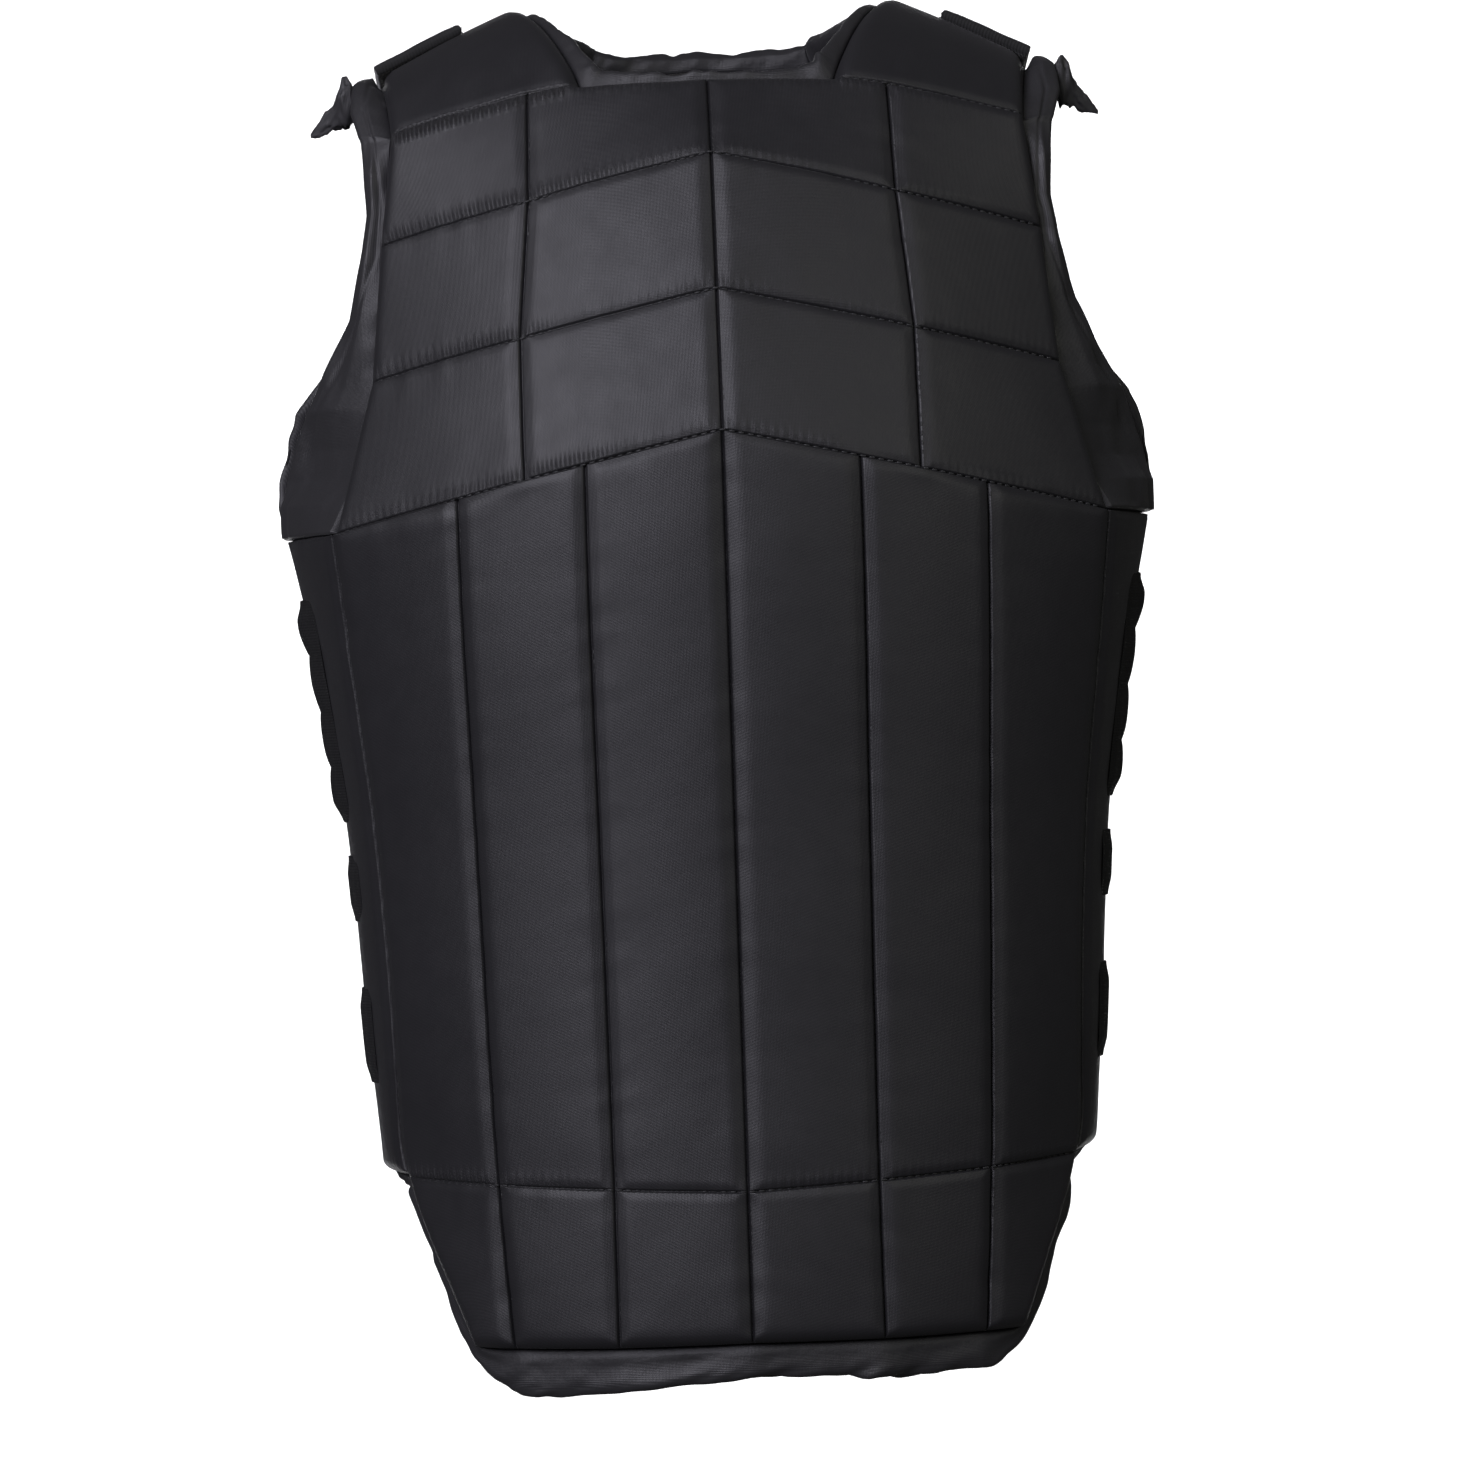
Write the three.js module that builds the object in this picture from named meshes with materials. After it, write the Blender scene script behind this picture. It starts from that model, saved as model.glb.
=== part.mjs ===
// Riding body protector: a padded front and back panel that are joined over the shoulders by two tabs and down
// the sides by three elastic straps each. Millimetres, +Z up, the front faces -Y, left is -X.
// The origin lies midway between the shoulders, on the underside of the shoulder padding.
import * as THREE from "three";

// Driving sizes, taken on the outer faces with the vest closed as it is worn.
const chestWidth = 370;
const chestReach = 115;
const backReach = 98;
const bodyLength = 560;

// Padding, and the channels that are sewn into it.
const foamThickness = 18;
const rimThickness = 7;
const channelWidth = 8;
const channelDepth = 6;
const liningChannelDepth = 2;
const plankCrown = 1.5;

// Gaps between the pieces.
const pieceGap = 0.3;
const seamGap = 0.9;
const shoulderGap = 1;
const sideGap = 8;

// Trims and fastenings.
const gussetThickness = 5;
const gussetProud = 2;
const frontFlare = 9;
const backFlare = 14;
const bindingHeight = 6;
const bindingThickness = 7;
const hemBandHeight = 16;
const hemSideHeight = 9;
const hemBandThickness = 8;
const strapThickness = 2;
const ruffleHeight = 2;
const tabThickness = 4.5;
const tabSag = 2;
const tabOverhang = 1;
const tieLength = 26;
const tieRadius = 6;

// Lines run down a panel: 0 the centre seam, 1 inner, 2 middle, 3 outer and 4 armhole seams, 5 the side edge.
const CENTRE = 0;
const INNER = 1;
const MIDDLE = 2;
const OUTER = 3;
const ARMHOLE = 4;
const SIDE = 5;

// A row for each section of a panel, from the shoulder down. drop and slant are shares of bodyLength: how far
// the centre lies under the shoulder crest, and how much lower the armhole seam is than the centre. reach is a
// share of the panel's reach. girth and the seams' places are shares of half the chest width.
const sectionColumns = ["row", "drop", "slant", "reach", "girth", "inner", "middle", "outer", "armhole"];
const frontTable = [
  ["crest", 0.0, 0.052, 0.0, 1.0, 0.43, 0.55, 0.65, 0.745],
  ["yoke", 0.071, 0.032, 0.57, 1.0, 0.29, 0.405, 0.56, 0.722],
  ["collarbone", 0.133, 0.056, 0.78, 0.9, 0.28, 0.411, 0.585, 0.757],
  ["breast", 0.235, 0.055, 0.9, 0.92, 0.295, 0.438, 0.6, 0.786],
  ["chest", 0.339, 0.062, 1.0, 1.0, 0.303, 0.438, 0.589, 0.878],
  ["ribs", 0.44, 0.038, 0.97, 0.947, 0.305, 0.44, 0.588, 0.858],
  ["waist", 0.62, 0.0, 0.9, 0.878, 0.3, 0.43, 0.576, 0.81],
  ["belly", 0.78, -0.008, 0.87, 0.852, 0.296, 0.425, 0.565, 0.785],
  ["skirt", 0.89, -0.012, 0.88, 0.822, 0.294, 0.42, 0.555, 0.782],
  ["hem", 1.0, 0.004, 0.89, 0.8, 0.296, 0.41, 0.53, 0.625],
];
const backTable = [
  ["crest", 0.0, 0.052, 0.0, 1.0, 0.43, 0.55, 0.65, 0.745],
  ["yoke", 0.027, 0.07, 0.6, 1.0, 0.3, 0.405, 0.56, 0.722],
  ["collarbone", 0.125, 0.056, 0.86, 0.9, 0.285, 0.42, 0.585, 0.757],
  ["breast", 0.23, 0.055, 0.98, 0.93, 0.295, 0.438, 0.6, 0.786],
  ["chest", 0.339, 0.062, 1.0, 1.0, 0.303, 0.438, 0.589, 0.878],
  ["ribs", 0.44, 0.038, 0.96, 0.947, 0.305, 0.44, 0.588, 0.858],
  ["waist", 0.62, 0.0, 0.87, 0.878, 0.3, 0.43, 0.576, 0.81],
  ["belly", 0.78, -0.008, 0.88, 0.852, 0.296, 0.425, 0.565, 0.785],
  ["skirt", 0.89, -0.012, 0.92, 0.822, 0.294, 0.42, 0.555, 0.782],
  ["hem", 1.0, 0.004, 0.94, 0.8, 0.296, 0.41, 0.53, 0.625],
];
const YOKE = 1;
const CHEST = 4;
const TAB_START = 0.12;
const FOOT_START = 3.7;
const FOOT_LENGTH = 0.28;
const SKIRT = 8;
const HEM = 9;
const SEAM_LEVELS = [1, 2, 3, 4, 8];
const SEAM_KEYS = ["inner", "middle", "outer", "armhole"];

// How far the free edge of an armhole gusset reaches, from the armhole seam (0) to the side edge (1), how far its
// cloth is drawn in or out there by gathers, as a share of its thickness, and its share of the flare.
const gussetRows = [
  { level: 0.16, reach: 0.12, fold: 0.0, flare: 0.0 },
  { level: 0.42, reach: 0.2, fold: 0.5, flare: 0.0 },
  { level: 1.0, reach: 0.2, fold: -0.3, flare: 0.0 },
  { level: 1.35, reach: 0.2, fold: 0.3, flare: 0.0 },
  { level: 1.7, reach: 0.19, fold: -0.1, flare: 0.0 },
  { level: 2.1, reach: 0.22, fold: 0.3, flare: 0.0 },
  { level: 2.5, reach: 0.36, fold: -0.3, flare: 0.3 },
  { level: 2.85, reach: 0.5, fold: 0.1, flare: 0.75 },
  { level: 3.15, reach: 0.66, fold: 0.5, flare: 1.0 },
  { level: 3.4, reach: 0.82, fold: -0.4, flare: 1.0 },
  { level: 3.6, reach: 0.92, fold: -0.5, flare: 0.85 },
  { level: 3.78, reach: 0.95, fold: 0.5, flare: 0.4 },
  { level: 3.96, reach: 0.96, fold: 0.2, flare: 0.0 },
];

// The hem's ripples, from the left corner (-1) to the right (1): its height in shares of the hem band's.
const hemRipples = [
  { at: -1.0, height: 0.5 },
  { at: -0.86, height: 1.15 },
  { at: -0.6, height: 1.3 },
  { at: -0.35, height: 1.2 },
  { at: -0.15, height: 1.0 },
  { at: 0.1, height: 0.9 },
  { at: 0.4, height: 1.05 },
  { at: 0.7, height: 0.95 },
  { at: 0.88, height: 0.95 },
  { at: 1.0, height: 0.5 },
];

// Side straps: top and foot are shares of bodyLength below the crest, start is the line where the strap begins,
// ruffles is how many gathers it is drawn into.
const straps = [
  { name: "upper", top: 0.446, foot: 0.615, start: 4.45, ruffles: 4 },
  { name: "middle", top: 0.64, foot: 0.69, start: 4.3, ruffles: 0 },
  { name: "lower", top: 0.74, foot: 0.812, start: 4.3, ruffles: 0 },
];

// A tie's knot and tail: how far along it, how much it falls by then, and its radius across and through, in
// shares of the tie's length and radius.
const tieRows = [
  { along: 0.0, fall: 0.0, wide: 0.75, deep: 0.6 },
  { along: 0.14, fall: 0.0, wide: 1.15, deep: 0.95 },
  { along: 0.32, fall: 0.12, wide: 1.1, deep: 0.9 },
  { along: 0.45, fall: 0.24, wide: 0.62, deep: 0.5 },
  { along: 0.65, fall: 0.45, wide: 0.5, deep: 0.3 },
  { along: 0.88, fall: 0.75, wide: 0.12, deep: 0.12 },
];

function namedRows(columns, table) {
  return table.map((values) => Object.fromEntries(columns.map((column, i) => [column, values[i]])));
}

const frontRows = namedRows(sectionColumns, frontTable);
const backRows = namedRows(sectionColumns, backTable);
const crestFall = frontRows[0].slant * bodyLength;
const crestHeight = foamThickness + crestFall / 2;
const rimInset = (foamThickness - rimThickness) / 2;
const mix = THREE.MathUtils.lerp;

const front = { rows: frontRows, reach: chestReach, flare: frontFlare, facing: -1 };
const back = { rows: backRows, reach: backReach, flare: backFlare, facing: 1 };

// The crest is rounded: beside it the section falls away slowly and reaches out fast.
const CREST_FALL_POWER = 1.6;
const CREST_REACH_POWER = 0.85;

function sectionAt(panel, level) {
  const lower = Math.min(Math.floor(level), panel.rows.length - 2);
  const share = level - lower;
  const [a, b] = [panel.rows[lower], panel.rows[lower + 1]];
  const section = {};
  for (const key of sectionColumns.slice(1)) section[key] = mix(a[key], b[key], share);
  if (lower < YOKE) {
    section.drop = mix(a.drop, b.drop, share ** CREST_FALL_POWER);
    section.reach = mix(a.reach, b.reach, share ** CREST_REACH_POWER);
  }
  return section;
}

// Sideways distance from the centre seam to a line, for lines up to the armhole seam.
function seamOffset(section, line) {
  const places = [0, ...SEAM_KEYS.map((key) => (section[key] * chestWidth) / 2)];
  const lower = Math.min(Math.floor(line), places.length - 2);
  return mix(places[lower], places[lower + 1], line - lower);
}

// A point of the smooth outer form, where the section is part of an ellipse. A negative line is on the left.
function formPoint(panel, level, line) {
  const section = sectionAt(panel, level);
  const halfWidth = (section.girth * chestWidth) / 2;
  const reach = Math.max(section.reach * panel.reach, sideGap);
  const distance = Math.abs(line);
  const armholeAngle = Math.asin(seamOffset(section, ARMHOLE) / halfWidth);
  const sideAngle = Math.acos((sideGap - shoulderGap) / 2 / reach);
  const angle =
    distance <= ARMHOLE
      ? Math.asin(seamOffset(section, distance) / halfWidth)
      : mix(armholeAngle, sideAngle, distance - ARMHOLE);
  const x = halfWidth * Math.sin(angle);
  const slantStart = level < YOKE + 0.5 ? seamOffset(section, INNER) : 0;
  const slantLength = seamOffset(section, ARMHOLE) - slantStart;
  const slantShare = THREE.MathUtils.clamp((x - slantStart) / slantLength, 0, 1);
  const depth = section.reach * panel.reach * Math.cos(angle);
  return new THREE.Vector3(
    Math.sign(line) * x,
    panel.facing * (shoulderGap / 2 + depth),
    crestHeight - bodyLength * (section.drop + section.slant * slantShare),
  );
}

// The outward direction of the smooth form, turned straight up and down towards the shoulder crest. Beside the
// neck it is taken just outside the neck edge, where the shoulder's slope begins.
function formNormal(panel, level, place) {
  const step = 0.02;
  const line = level < YOKE ? Math.sign(place) * Math.max(Math.abs(place), INNER + 2 * step) : place;
  const upper = formPoint(panel, Math.max(0, level - step), line);
  const lower = formPoint(panel, Math.min(HEM, level + step), line);
  const left = formPoint(panel, level, Math.max(-SIDE, line - step));
  const right = formPoint(panel, level, Math.min(SIDE, line + step));
  const normal = right.sub(left).cross(upper.sub(lower)).multiplyScalar(-panel.facing);
  normal.y *= Math.min(1, level / YOKE) ** 0.5;
  return normal.normalize();
}

function seamsInUse(level) {
  if (level < YOKE) return [CENTRE, INNER, ARMHOLE, SIDE];
  return level < CHEST ? [CENTRE, MIDDLE, ARMHOLE, SIDE] : [CENTRE, INNER, OUTER, ARMHOLE, SIDE];
}

// The two seams beside a line, and how far the line lies between them.
function plankOf(panel, level, line) {
  const seams = seamsInUse(level);
  const distance = Math.abs(line);
  const to = Math.max(1, seams.findIndex((seam) => seam >= distance));
  const [a, b] = [seams[to - 1], seams[to]];
  if (b === SIDE) return { a, b, share: distance - a };
  const section = sectionAt(panel, level);
  const [start, end] = [seamOffset(section, a), seamOffset(section, b)];
  return { a, b, share: (seamOffset(section, distance) - start) / (end - start) };
}

// A point of a panel's outer face before its channels are sunk: flat planks from seam to seam.
function platePoint(panel, level, line) {
  const side = Math.sign(line) || 1;
  const { a, b, share } = plankOf(panel, level, line);
  return formPoint(panel, level, side * a).lerp(formPoint(panel, level, side * b), share);
}

function raised(point, normal, height) {
  return point.clone().addScaledVector(normal, height);
}

// Level of a panel where a line reaches a height, found by halving.
function levelAtHeight(panel, line, height) {
  let [above, below] = [0, HEM];
  for (let i = 0; i < 24; i++) {
    const middle = (above + below) / 2;
    if (formPoint(panel, middle, line).z > height) above = middle;
    else below = middle;
  }
  return (above + below) / 2;
}

function solidMesh(name, corners, triangles, material) {
  const volume = triangles.reduce((sum, [a, b, c]) => {
    return sum + corners[a].dot(corners[b].clone().cross(corners[c])) / 6;
  }, 0);
  const faces = volume > 0 ? triangles : triangles.map(([a, b, c]) => [a, c, b]);
  const geometry = new THREE.BufferGeometry().setFromPoints(corners);
  geometry.setIndex(faces.flat());
  geometry.computeVertexNormals();
  const mesh = new THREE.Mesh(geometry, material);
  mesh.name = name;
  return mesh;
}

// A wall between two grids of points. isOpen(row, column) leaves cells out, and the wall closes round them.
function wallMesh(name, outer, inner, material, isOpen = () => false) {
  const [rows, columns] = [outer.length, outer[0].length];
  const corners = [...outer.flat(), ...inner.flat()];
  const behind = rows * columns;
  const triangles = [];
  const has = (r, c) => r >= 0 && c >= 0 && r < rows - 1 && c < columns - 1 && !isOpen(r, c);
  for (let r = 0; r < rows - 1; r++) {
    for (let c = 0; c < columns - 1; c++) {
      if (!has(r, c)) continue;
      const [A, B] = [r * columns + c, r * columns + c + 1];
      const [C, D] = [B + columns, A + columns];
      triangles.push([A, B, C], [A, C, D]);
      triangles.push([A + behind, C + behind, B + behind], [A + behind, D + behind, C + behind]);
      const edges = [
        [A, B, has(r - 1, c)],
        [B, C, has(r, c + 1)],
        [C, D, has(r + 1, c)],
        [D, A, has(r, c - 1)],
      ];
      for (const [a, b, joined] of edges) {
        if (!joined) triangles.push([b, a, a + behind], [b, a + behind, b + behind]);
      }
    }
  }
  return solidMesh(name, corners, triangles, material);
}

// A solid through a row of closed rings with equally many points.
function loftMesh(name, rings, material) {
  const count = rings[0].length;
  const corners = rings.flat();
  const triangles = [];
  for (let i = 0; i < rings.length - 1; i++) {
    for (let j = 0; j < count; j++) {
      const [a, b] = [i * count + j, i * count + ((j + 1) % count)];
      triangles.push([a, b, a + count], [b, b + count, a + count]);
    }
  }
  const last = (rings.length - 1) * count;
  for (let j = 1; j < count - 1; j++) {
    triangles.push([0, j + 1, j], [last, last + j, last + j + 1]);
  }
  return solidMesh(name, corners, triangles, material);
}

const black = { roughness: 0.6, metalness: 0 };
const coverCloth = new THREE.MeshStandardMaterial({ color: 0x2b2b2e, ...black });
const trimCloth = new THREE.MeshStandardMaterial({ color: 0x242427, ...black });
const elasticWeb = new THREE.MeshStandardMaterial({ color: 0x121213, roughness: 0.85, metalness: 0 });
const hookTape = new THREE.MeshStandardMaterial({ color: 0x0c0c0d, roughness: 0.9, metalness: 0 });

// Lines of the grid across one half: each seam with its channel's two lips, and one or more between.
function halfLines() {
  const lip = channelWidth / 2 / (chestWidth / 2 / ARMHOLE);
  const lines = [CENTRE, lip, 0.5];
  for (const seam of [INNER, MIDDLE, OUTER, ARMHOLE]) lines.push(seam - lip, seam, seam + lip);
  lines.push(ARMHOLE + 0.5, SIDE - lip / 2, SIDE);
  return lines;
}

// Levels of the grid from the shoulder down: each seam with its channel's two lips, and some between.
function gridLevels(panel) {
  const levels = [0, TAB_START, 0.5];
  for (let row = YOKE; row <= HEM; row++) {
    const isSeam = SEAM_LEVELS.includes(row);
    const above = (panel.rows[row].drop - panel.rows[row - 1].drop) * bodyLength;
    const lipAbove = Math.min(0.3, channelWidth / 2 / above);
    if (isSeam || row === HEM) levels.push(row - lipAbove);
    levels.push(row);
    if (row === HEM) break;
    const below = (panel.rows[row + 1].drop - panel.rows[row].drop) * bodyLength;
    if (isSeam) levels.push(row + Math.min(0.3, channelWidth / 2 / below));
    levels.push(row + 0.5);
  }
  return levels;
}

// Which planks a panel has at a level: from line `from` out to line `to`.
function spanAt(level) {
  if (level < YOKE) return { from: INNER, to: ARMHOLE };
  return { from: CENTRE, to: level >= CHEST && level < SKIRT ? SIDE : ARMHOLE };
}

// Is a point of the grid on the panel's outline, on a sewn channel, or on a plank? It is on the outline where two
// or more of the four cells round it are open.
function placeOnPanel(level, line) {
  const near = 1e-6;
  const distance = Math.abs(line);
  const isCloth = (row, place) => {
    const { from, to } = spanAt(row);
    return row > 0 && row < HEM && place > from && place < to;
  };
  const rows = [level - near, level + near];
  const places = [Math.abs(distance - near), distance + near];
  const covered = rows.flatMap((row) => places.filter((place) => isCloth(row, place))).length;
  if (covered <= 2) return "rim";
  return seamsInUse(level).includes(distance) || SEAM_LEVELS.includes(level) ? "channel" : "plank";
}

// How far the outer face sinks in and the lining comes out at each kind of place.
const sinking = {
  plank: { outer: 0, lining: 0 },
  channel: { outer: channelDepth, lining: liningChannelDepth },
  rim: { outer: rimInset, lining: rimInset },
};

function panelMesh(name, panel) {
  const half = halfLines();
  const lines = [...half.slice(1).reverse().map((line) => -line), ...half];
  const levels = gridLevels(panel);
  const [outer, lining] = [[], []];
  for (const level of levels) {
    const [outerRow, liningRow] = [[], []];
    for (const line of lines) {
      const normal = formNormal(panel, level, line);
      const sunk = sinking[placeOnPanel(level, line)];
      const { share } = plankOf(panel, level, line);
      const crown = sunk.outer ? 0 : plankCrown * 4 * share * (1 - share);
      const point = platePoint(panel, level, line);
      outerRow.push(raised(point, normal, crown - sunk.outer));
      liningRow.push(raised(point, normal, sunk.lining - foamThickness));
    }
    outer.push(outerRow);
    lining.push(liningRow);
  }
  const isOpen = (r, c) => {
    const { from, to } = spanAt((levels[r] + levels[r + 1]) / 2);
    const distance = Math.abs((lines[c] + lines[c + 1]) / 2);
    return distance < from || distance > to;
  };
  return wallMesh(name, outer, lining, coverCloth, isOpen);
}

// A table's row at a place between two of its rows, found by one of its columns.
function rowAt(table, column, place) {
  const next = table.findIndex((row, i) => i > 0 && (row[column] >= place || i === table.length - 1));
  const [a, b] = [table[next - 1], table[next]];
  const share = (place - a[column]) / (b[column] - a[column]);
  return Object.fromEntries(Object.keys(a).map((key) => [key, mix(a[key], b[key], share)]));
}

// Soft cloth between the armhole seam and the free edge under the arm, standing out over the side planks.
function gussetMesh(name, panel, side) {
  const [seamTop, freeTop] = [rimInset, 0];
  const shares = [0, 0.35, 0.7, 1];
  const [outer, inner] = [[], []];
  const [first, last] = [gussetRows[0].level, gussetRows[gussetRows.length - 1].level];
  const levels = [first, ...gridLevels(panel).filter((level) => level > first && level < last), last];
  for (const level of levels) {
    const { reach, fold, flare } = rowAt(gussetRows, "level", level);
    const nearFoot = Math.max(0, (level - FOOT_START) / FOOT_LENGTH);
    const [outerRow, innerRow] = [[], []];
    const seam = formPoint(panel, level, side * ARMHOLE);
    const start = seamGap / seam.distanceTo(formPoint(panel, level, side * (ARMHOLE + 1)));
    for (const share of shares) {
      const line = side * (ARMHOLE + mix(start, reach, share));
      const normal = formNormal(panel, level, line);
      const drawn = fold * gussetThickness * Math.sin(Math.PI * Math.min(1, share * 0.75));
      const seated = mix(seamTop, freeTop, Math.min(1, share * 2)) * (1 - nearFoot);
      const sunk = seated - gussetProud * nearFoot * share;
      const depth = mix(gussetThickness, rimInset + rimThickness, nearFoot);
      const point = raised(platePoint(panel, level, line), normal, drawn - sunk);
      point.x += side * panel.flare * flare * share * share;
      outerRow.push(point);
      innerRow.push(raised(point, normal, -depth));
    }
    outer.push(outerRow);
    inner.push(innerRow);
  }
  return wallMesh(name, outer, inner, trimCloth);
}

// A band along an edge of a panel. stops are the places it passes, each with its height there; away points from
// the panel into the open. It is seated on the rim, in the middle of the padding.
function bandMesh(name, panel, stops, thickness) {
  const [shoulderShare, topShare] = [0.6, 0.4];
  const seats = stops.map(({ level, line }) => {
    const normal = formNormal(panel, level, line);
    return { point: raised(platePoint(panel, level, line), normal, -foamThickness / 2), normal };
  });
  const rings = seats.map(({ point, normal }, i) => {
    const before = seats[Math.max(0, i - 1)].point;
    const after = seats[Math.min(seats.length - 1, i + 1)].point;
    const into = point.clone().sub(before).normalize();
    const outOf = after.clone().sub(point).normalize();
    const along = into.clone().add(outOf).normalize();
    if (stops[i].level === 0) along.set(0, Math.sign(along.y), 0);
    const away = along.clone().cross(normal).normalize().multiplyScalar(-panel.facing);
    const turn = Math.max(0.6, along.dot(i ? into : outOf));
    const height = stops[i].height;
    const half = thickness / 2;
    const profile = [
      [-half, seamGap],
      [half, seamGap],
      [half, shoulderShare * height],
      [half * topShare, height],
      [-half * topShare, height],
      [-half, shoulderShare * height],
    ];
    return profile.map(([through, up]) => raised(point, away, up / turn).addScaledVector(normal, through));
  });
  return loftMesh(name, rings, trimCloth);
}

function neckBinding(name, panel) {
  const down = gridLevels(panel).filter((level) => level <= YOKE);
  const across = halfLines().filter((line) => line < INNER).reverse();
  const half = [
    ...down.map((level) => ({ level, line: INNER })),
    ...across.map((line) => ({ level: YOKE, line })),
  ];
  const mirrored = half.slice(0, -1).reverse().map((stop) => ({ ...stop, line: -stop.line }));
  const stops = [...half, ...mirrored].map((stop) => ({ ...stop, height: bindingHeight }));
  return bandMesh(name, panel, stops, bindingThickness);
}

// The hem band turns in at the corner where the side plank ends, so its stops keep clear of that corner.
function hemBand(name, panel) {
  const down = gridLevels(panel).filter((level) => level > SKIRT + 0.4 && level < HEM);
  const half = halfLines();
  const corner = [
    ...half.filter((line) => line > ARMHOLE + 0.4).reverse().map((line) => ({ level: SKIRT, line })),
    ...[SKIRT, ...down].map((level) => ({ level, line: ARMHOLE })),
  ].map((stop) => ({ ...stop, height: hemSideHeight }));
  const across = half.filter((line) => line <= ARMHOLE);
  const bottom = [...across.slice(1).reverse().map((line) => -line), ...across].map((line) => {
    return { level: HEM, line, height: hemBandHeight * rowAt(hemRipples, "at", line / ARMHOLE).height };
  });
  const left = corner.map((stop) => ({ ...stop, line: -stop.line }));
  return bandMesh(name, panel, [...left, ...bottom, ...corner.slice().reverse()], hemBandThickness);
}

// An elastic strap round one side, from the front panel over the side slit to the back panel.
function strapMesh(strap, side) {
  const top = crestHeight - strap.top * bodyLength;
  const foot = crestHeight - strap.foot * bodyLength;
  const rows = strap.ruffles ? strap.ruffles * 4 : 2;
  const lines = [strap.start, mix(strap.start, SIDE, 0.5), SIDE];
  const backLines = lines.slice().reverse();
  const stops = [...lines.map((line) => [front, line]), ...backLines.map((line) => [back, line])];
  const [outer, inner] = [[], []];
  for (let r = 0; r <= rows; r++) {
    const height = mix(top, foot, r / rows);
    const ruffle = ruffleHeight * Math.abs(Math.sin((Math.PI * strap.ruffles * r) / rows));
    const [outerRow, innerRow] = [[], []];
    stops.forEach(([panel, line], i) => {
      const level = levelAtHeight(panel, line, height);
      const normal = formNormal(panel, level, side * line).setZ(0).normalize();
      const seat = platePoint(panel, level, side * line).setZ(height);
      const swell = i > 0 && i < stops.length - 1 ? ruffle : 0;
      innerRow.push(raised(seat, normal, plankCrown + pieceGap + swell * 0.5));
      outerRow.push(raised(seat, normal, plankCrown + pieceGap + strapThickness + swell));
    });
    outer.push(outerRow);
    inner.push(innerRow);
  }
  return wallMesh(`side_strap_${strap.name}_${side < 0 ? "left" : "right"}`, outer, inner, elasticWeb);
}

// A stiff tab that lies over the shoulder joint, from the crest down onto the back yoke.
function tabMesh(side) {
  const backLevels = gridLevels(back).filter((level) => level < YOKE);
  const stops = [[front, TAB_START], ...backLevels.map((level) => [back, level])];
  const [outer, inner] = [[], []];
  for (const [panel, level] of stops) {
    const [outerRow, innerRow] = [[], []];
    const edge = platePoint(panel, level, side * ARMHOLE);
    const along = edge.clone().sub(platePoint(panel, level, side * MIDDLE)).normalize();
    const lift = plankCrown + seamGap - (level === 0 ? tabSag : 0);
    for (const line of halfLines().filter((place) => place > MIDDLE && place <= ARMHOLE)) {
      const normal = formNormal(panel, level, side * line);
      const point = platePoint(panel, level, side * line);
      if (line === ARMHOLE) point.addScaledVector(along, tabOverhang);
      innerRow.push(raised(point, normal, lift));
      outerRow.push(raised(point, normal, lift + tabThickness));
    }
    outer.push(outerRow);
    inner.push(innerRow);
  }
  return wallMesh(`shoulder_tab_${side < 0 ? "left" : "right"}`, outer, inner, hookTape);
}

// A knotted end of binding that sticks out of the armhole edge below the shoulder.
function tieMesh(side) {
  const { level, reach, fold } = gussetRows[1];
  const line = side * (ARMHOLE + reach);
  const normal = formNormal(front, level, line);
  const edge = platePoint(front, level, line);
  const outward = edge.clone().sub(platePoint(front, level, side * ARMHOLE)).normalize();
  const drawn = (fold * Math.sin(Math.PI * 0.75) - 0.5) * gussetThickness;
  const root = raised(edge, normal, drawn).addScaledVector(outward, -pieceGap);
  const sides = 8;
  const rings = tieRows.map(({ along, fall, wide, deep }) => {
    const centre = raised(root, outward, along * tieLength);
    centre.z -= fall * tieLength;
    return Array.from({ length: sides }, (_, i) => {
      const angle = (2 * Math.PI * i) / sides;
      const through = raised(centre, normal, tieRadius * deep * Math.cos(angle));
      through.z += tieRadius * wide * Math.sin(angle) * 0.8;
      return through;
    });
  });
  return loftMesh(`shoulder_tie_${side < 0 ? "left" : "right"}`, rings, trimCloth);
}

const vest = new THREE.Group();
vest.add(panelMesh("front_panel", front));
vest.add(panelMesh("back_panel", back));
vest.add(neckBinding("neck_binding_front", front));
vest.add(neckBinding("neck_binding_back", back));
vest.add(hemBand("hem_band_front", front));
vest.add(hemBand("hem_band_back", back));
for (const side of [-1, 1]) {
  const hand = side < 0 ? "left" : "right";
  vest.add(gussetMesh(`front_gusset_${hand}`, front, side));
  vest.add(gussetMesh(`back_gusset_${hand}`, back, side));
  for (const strap of straps) vest.add(strapMesh(strap, side));
  vest.add(tabMesh(side));
  vest.add(tieMesh(side));
}

export default vest;
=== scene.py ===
"""The dressed riding body protector: padded covers, trims, straps, tabs, ties, stitches and a plain studio.

Metres, +Z up. The front faces -Y and left is -X. The origin lies midway between the shoulders, on the
underside of the shoulder padding. Every surface is worked out from named sizes and the shares of the section
tables.
"""

import logging
import math
from dataclasses import astuple, dataclass
from enum import Enum, IntEnum
from functools import cached_property

import bpy
import numpy as np
from mathutils import Matrix, Vector


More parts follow.
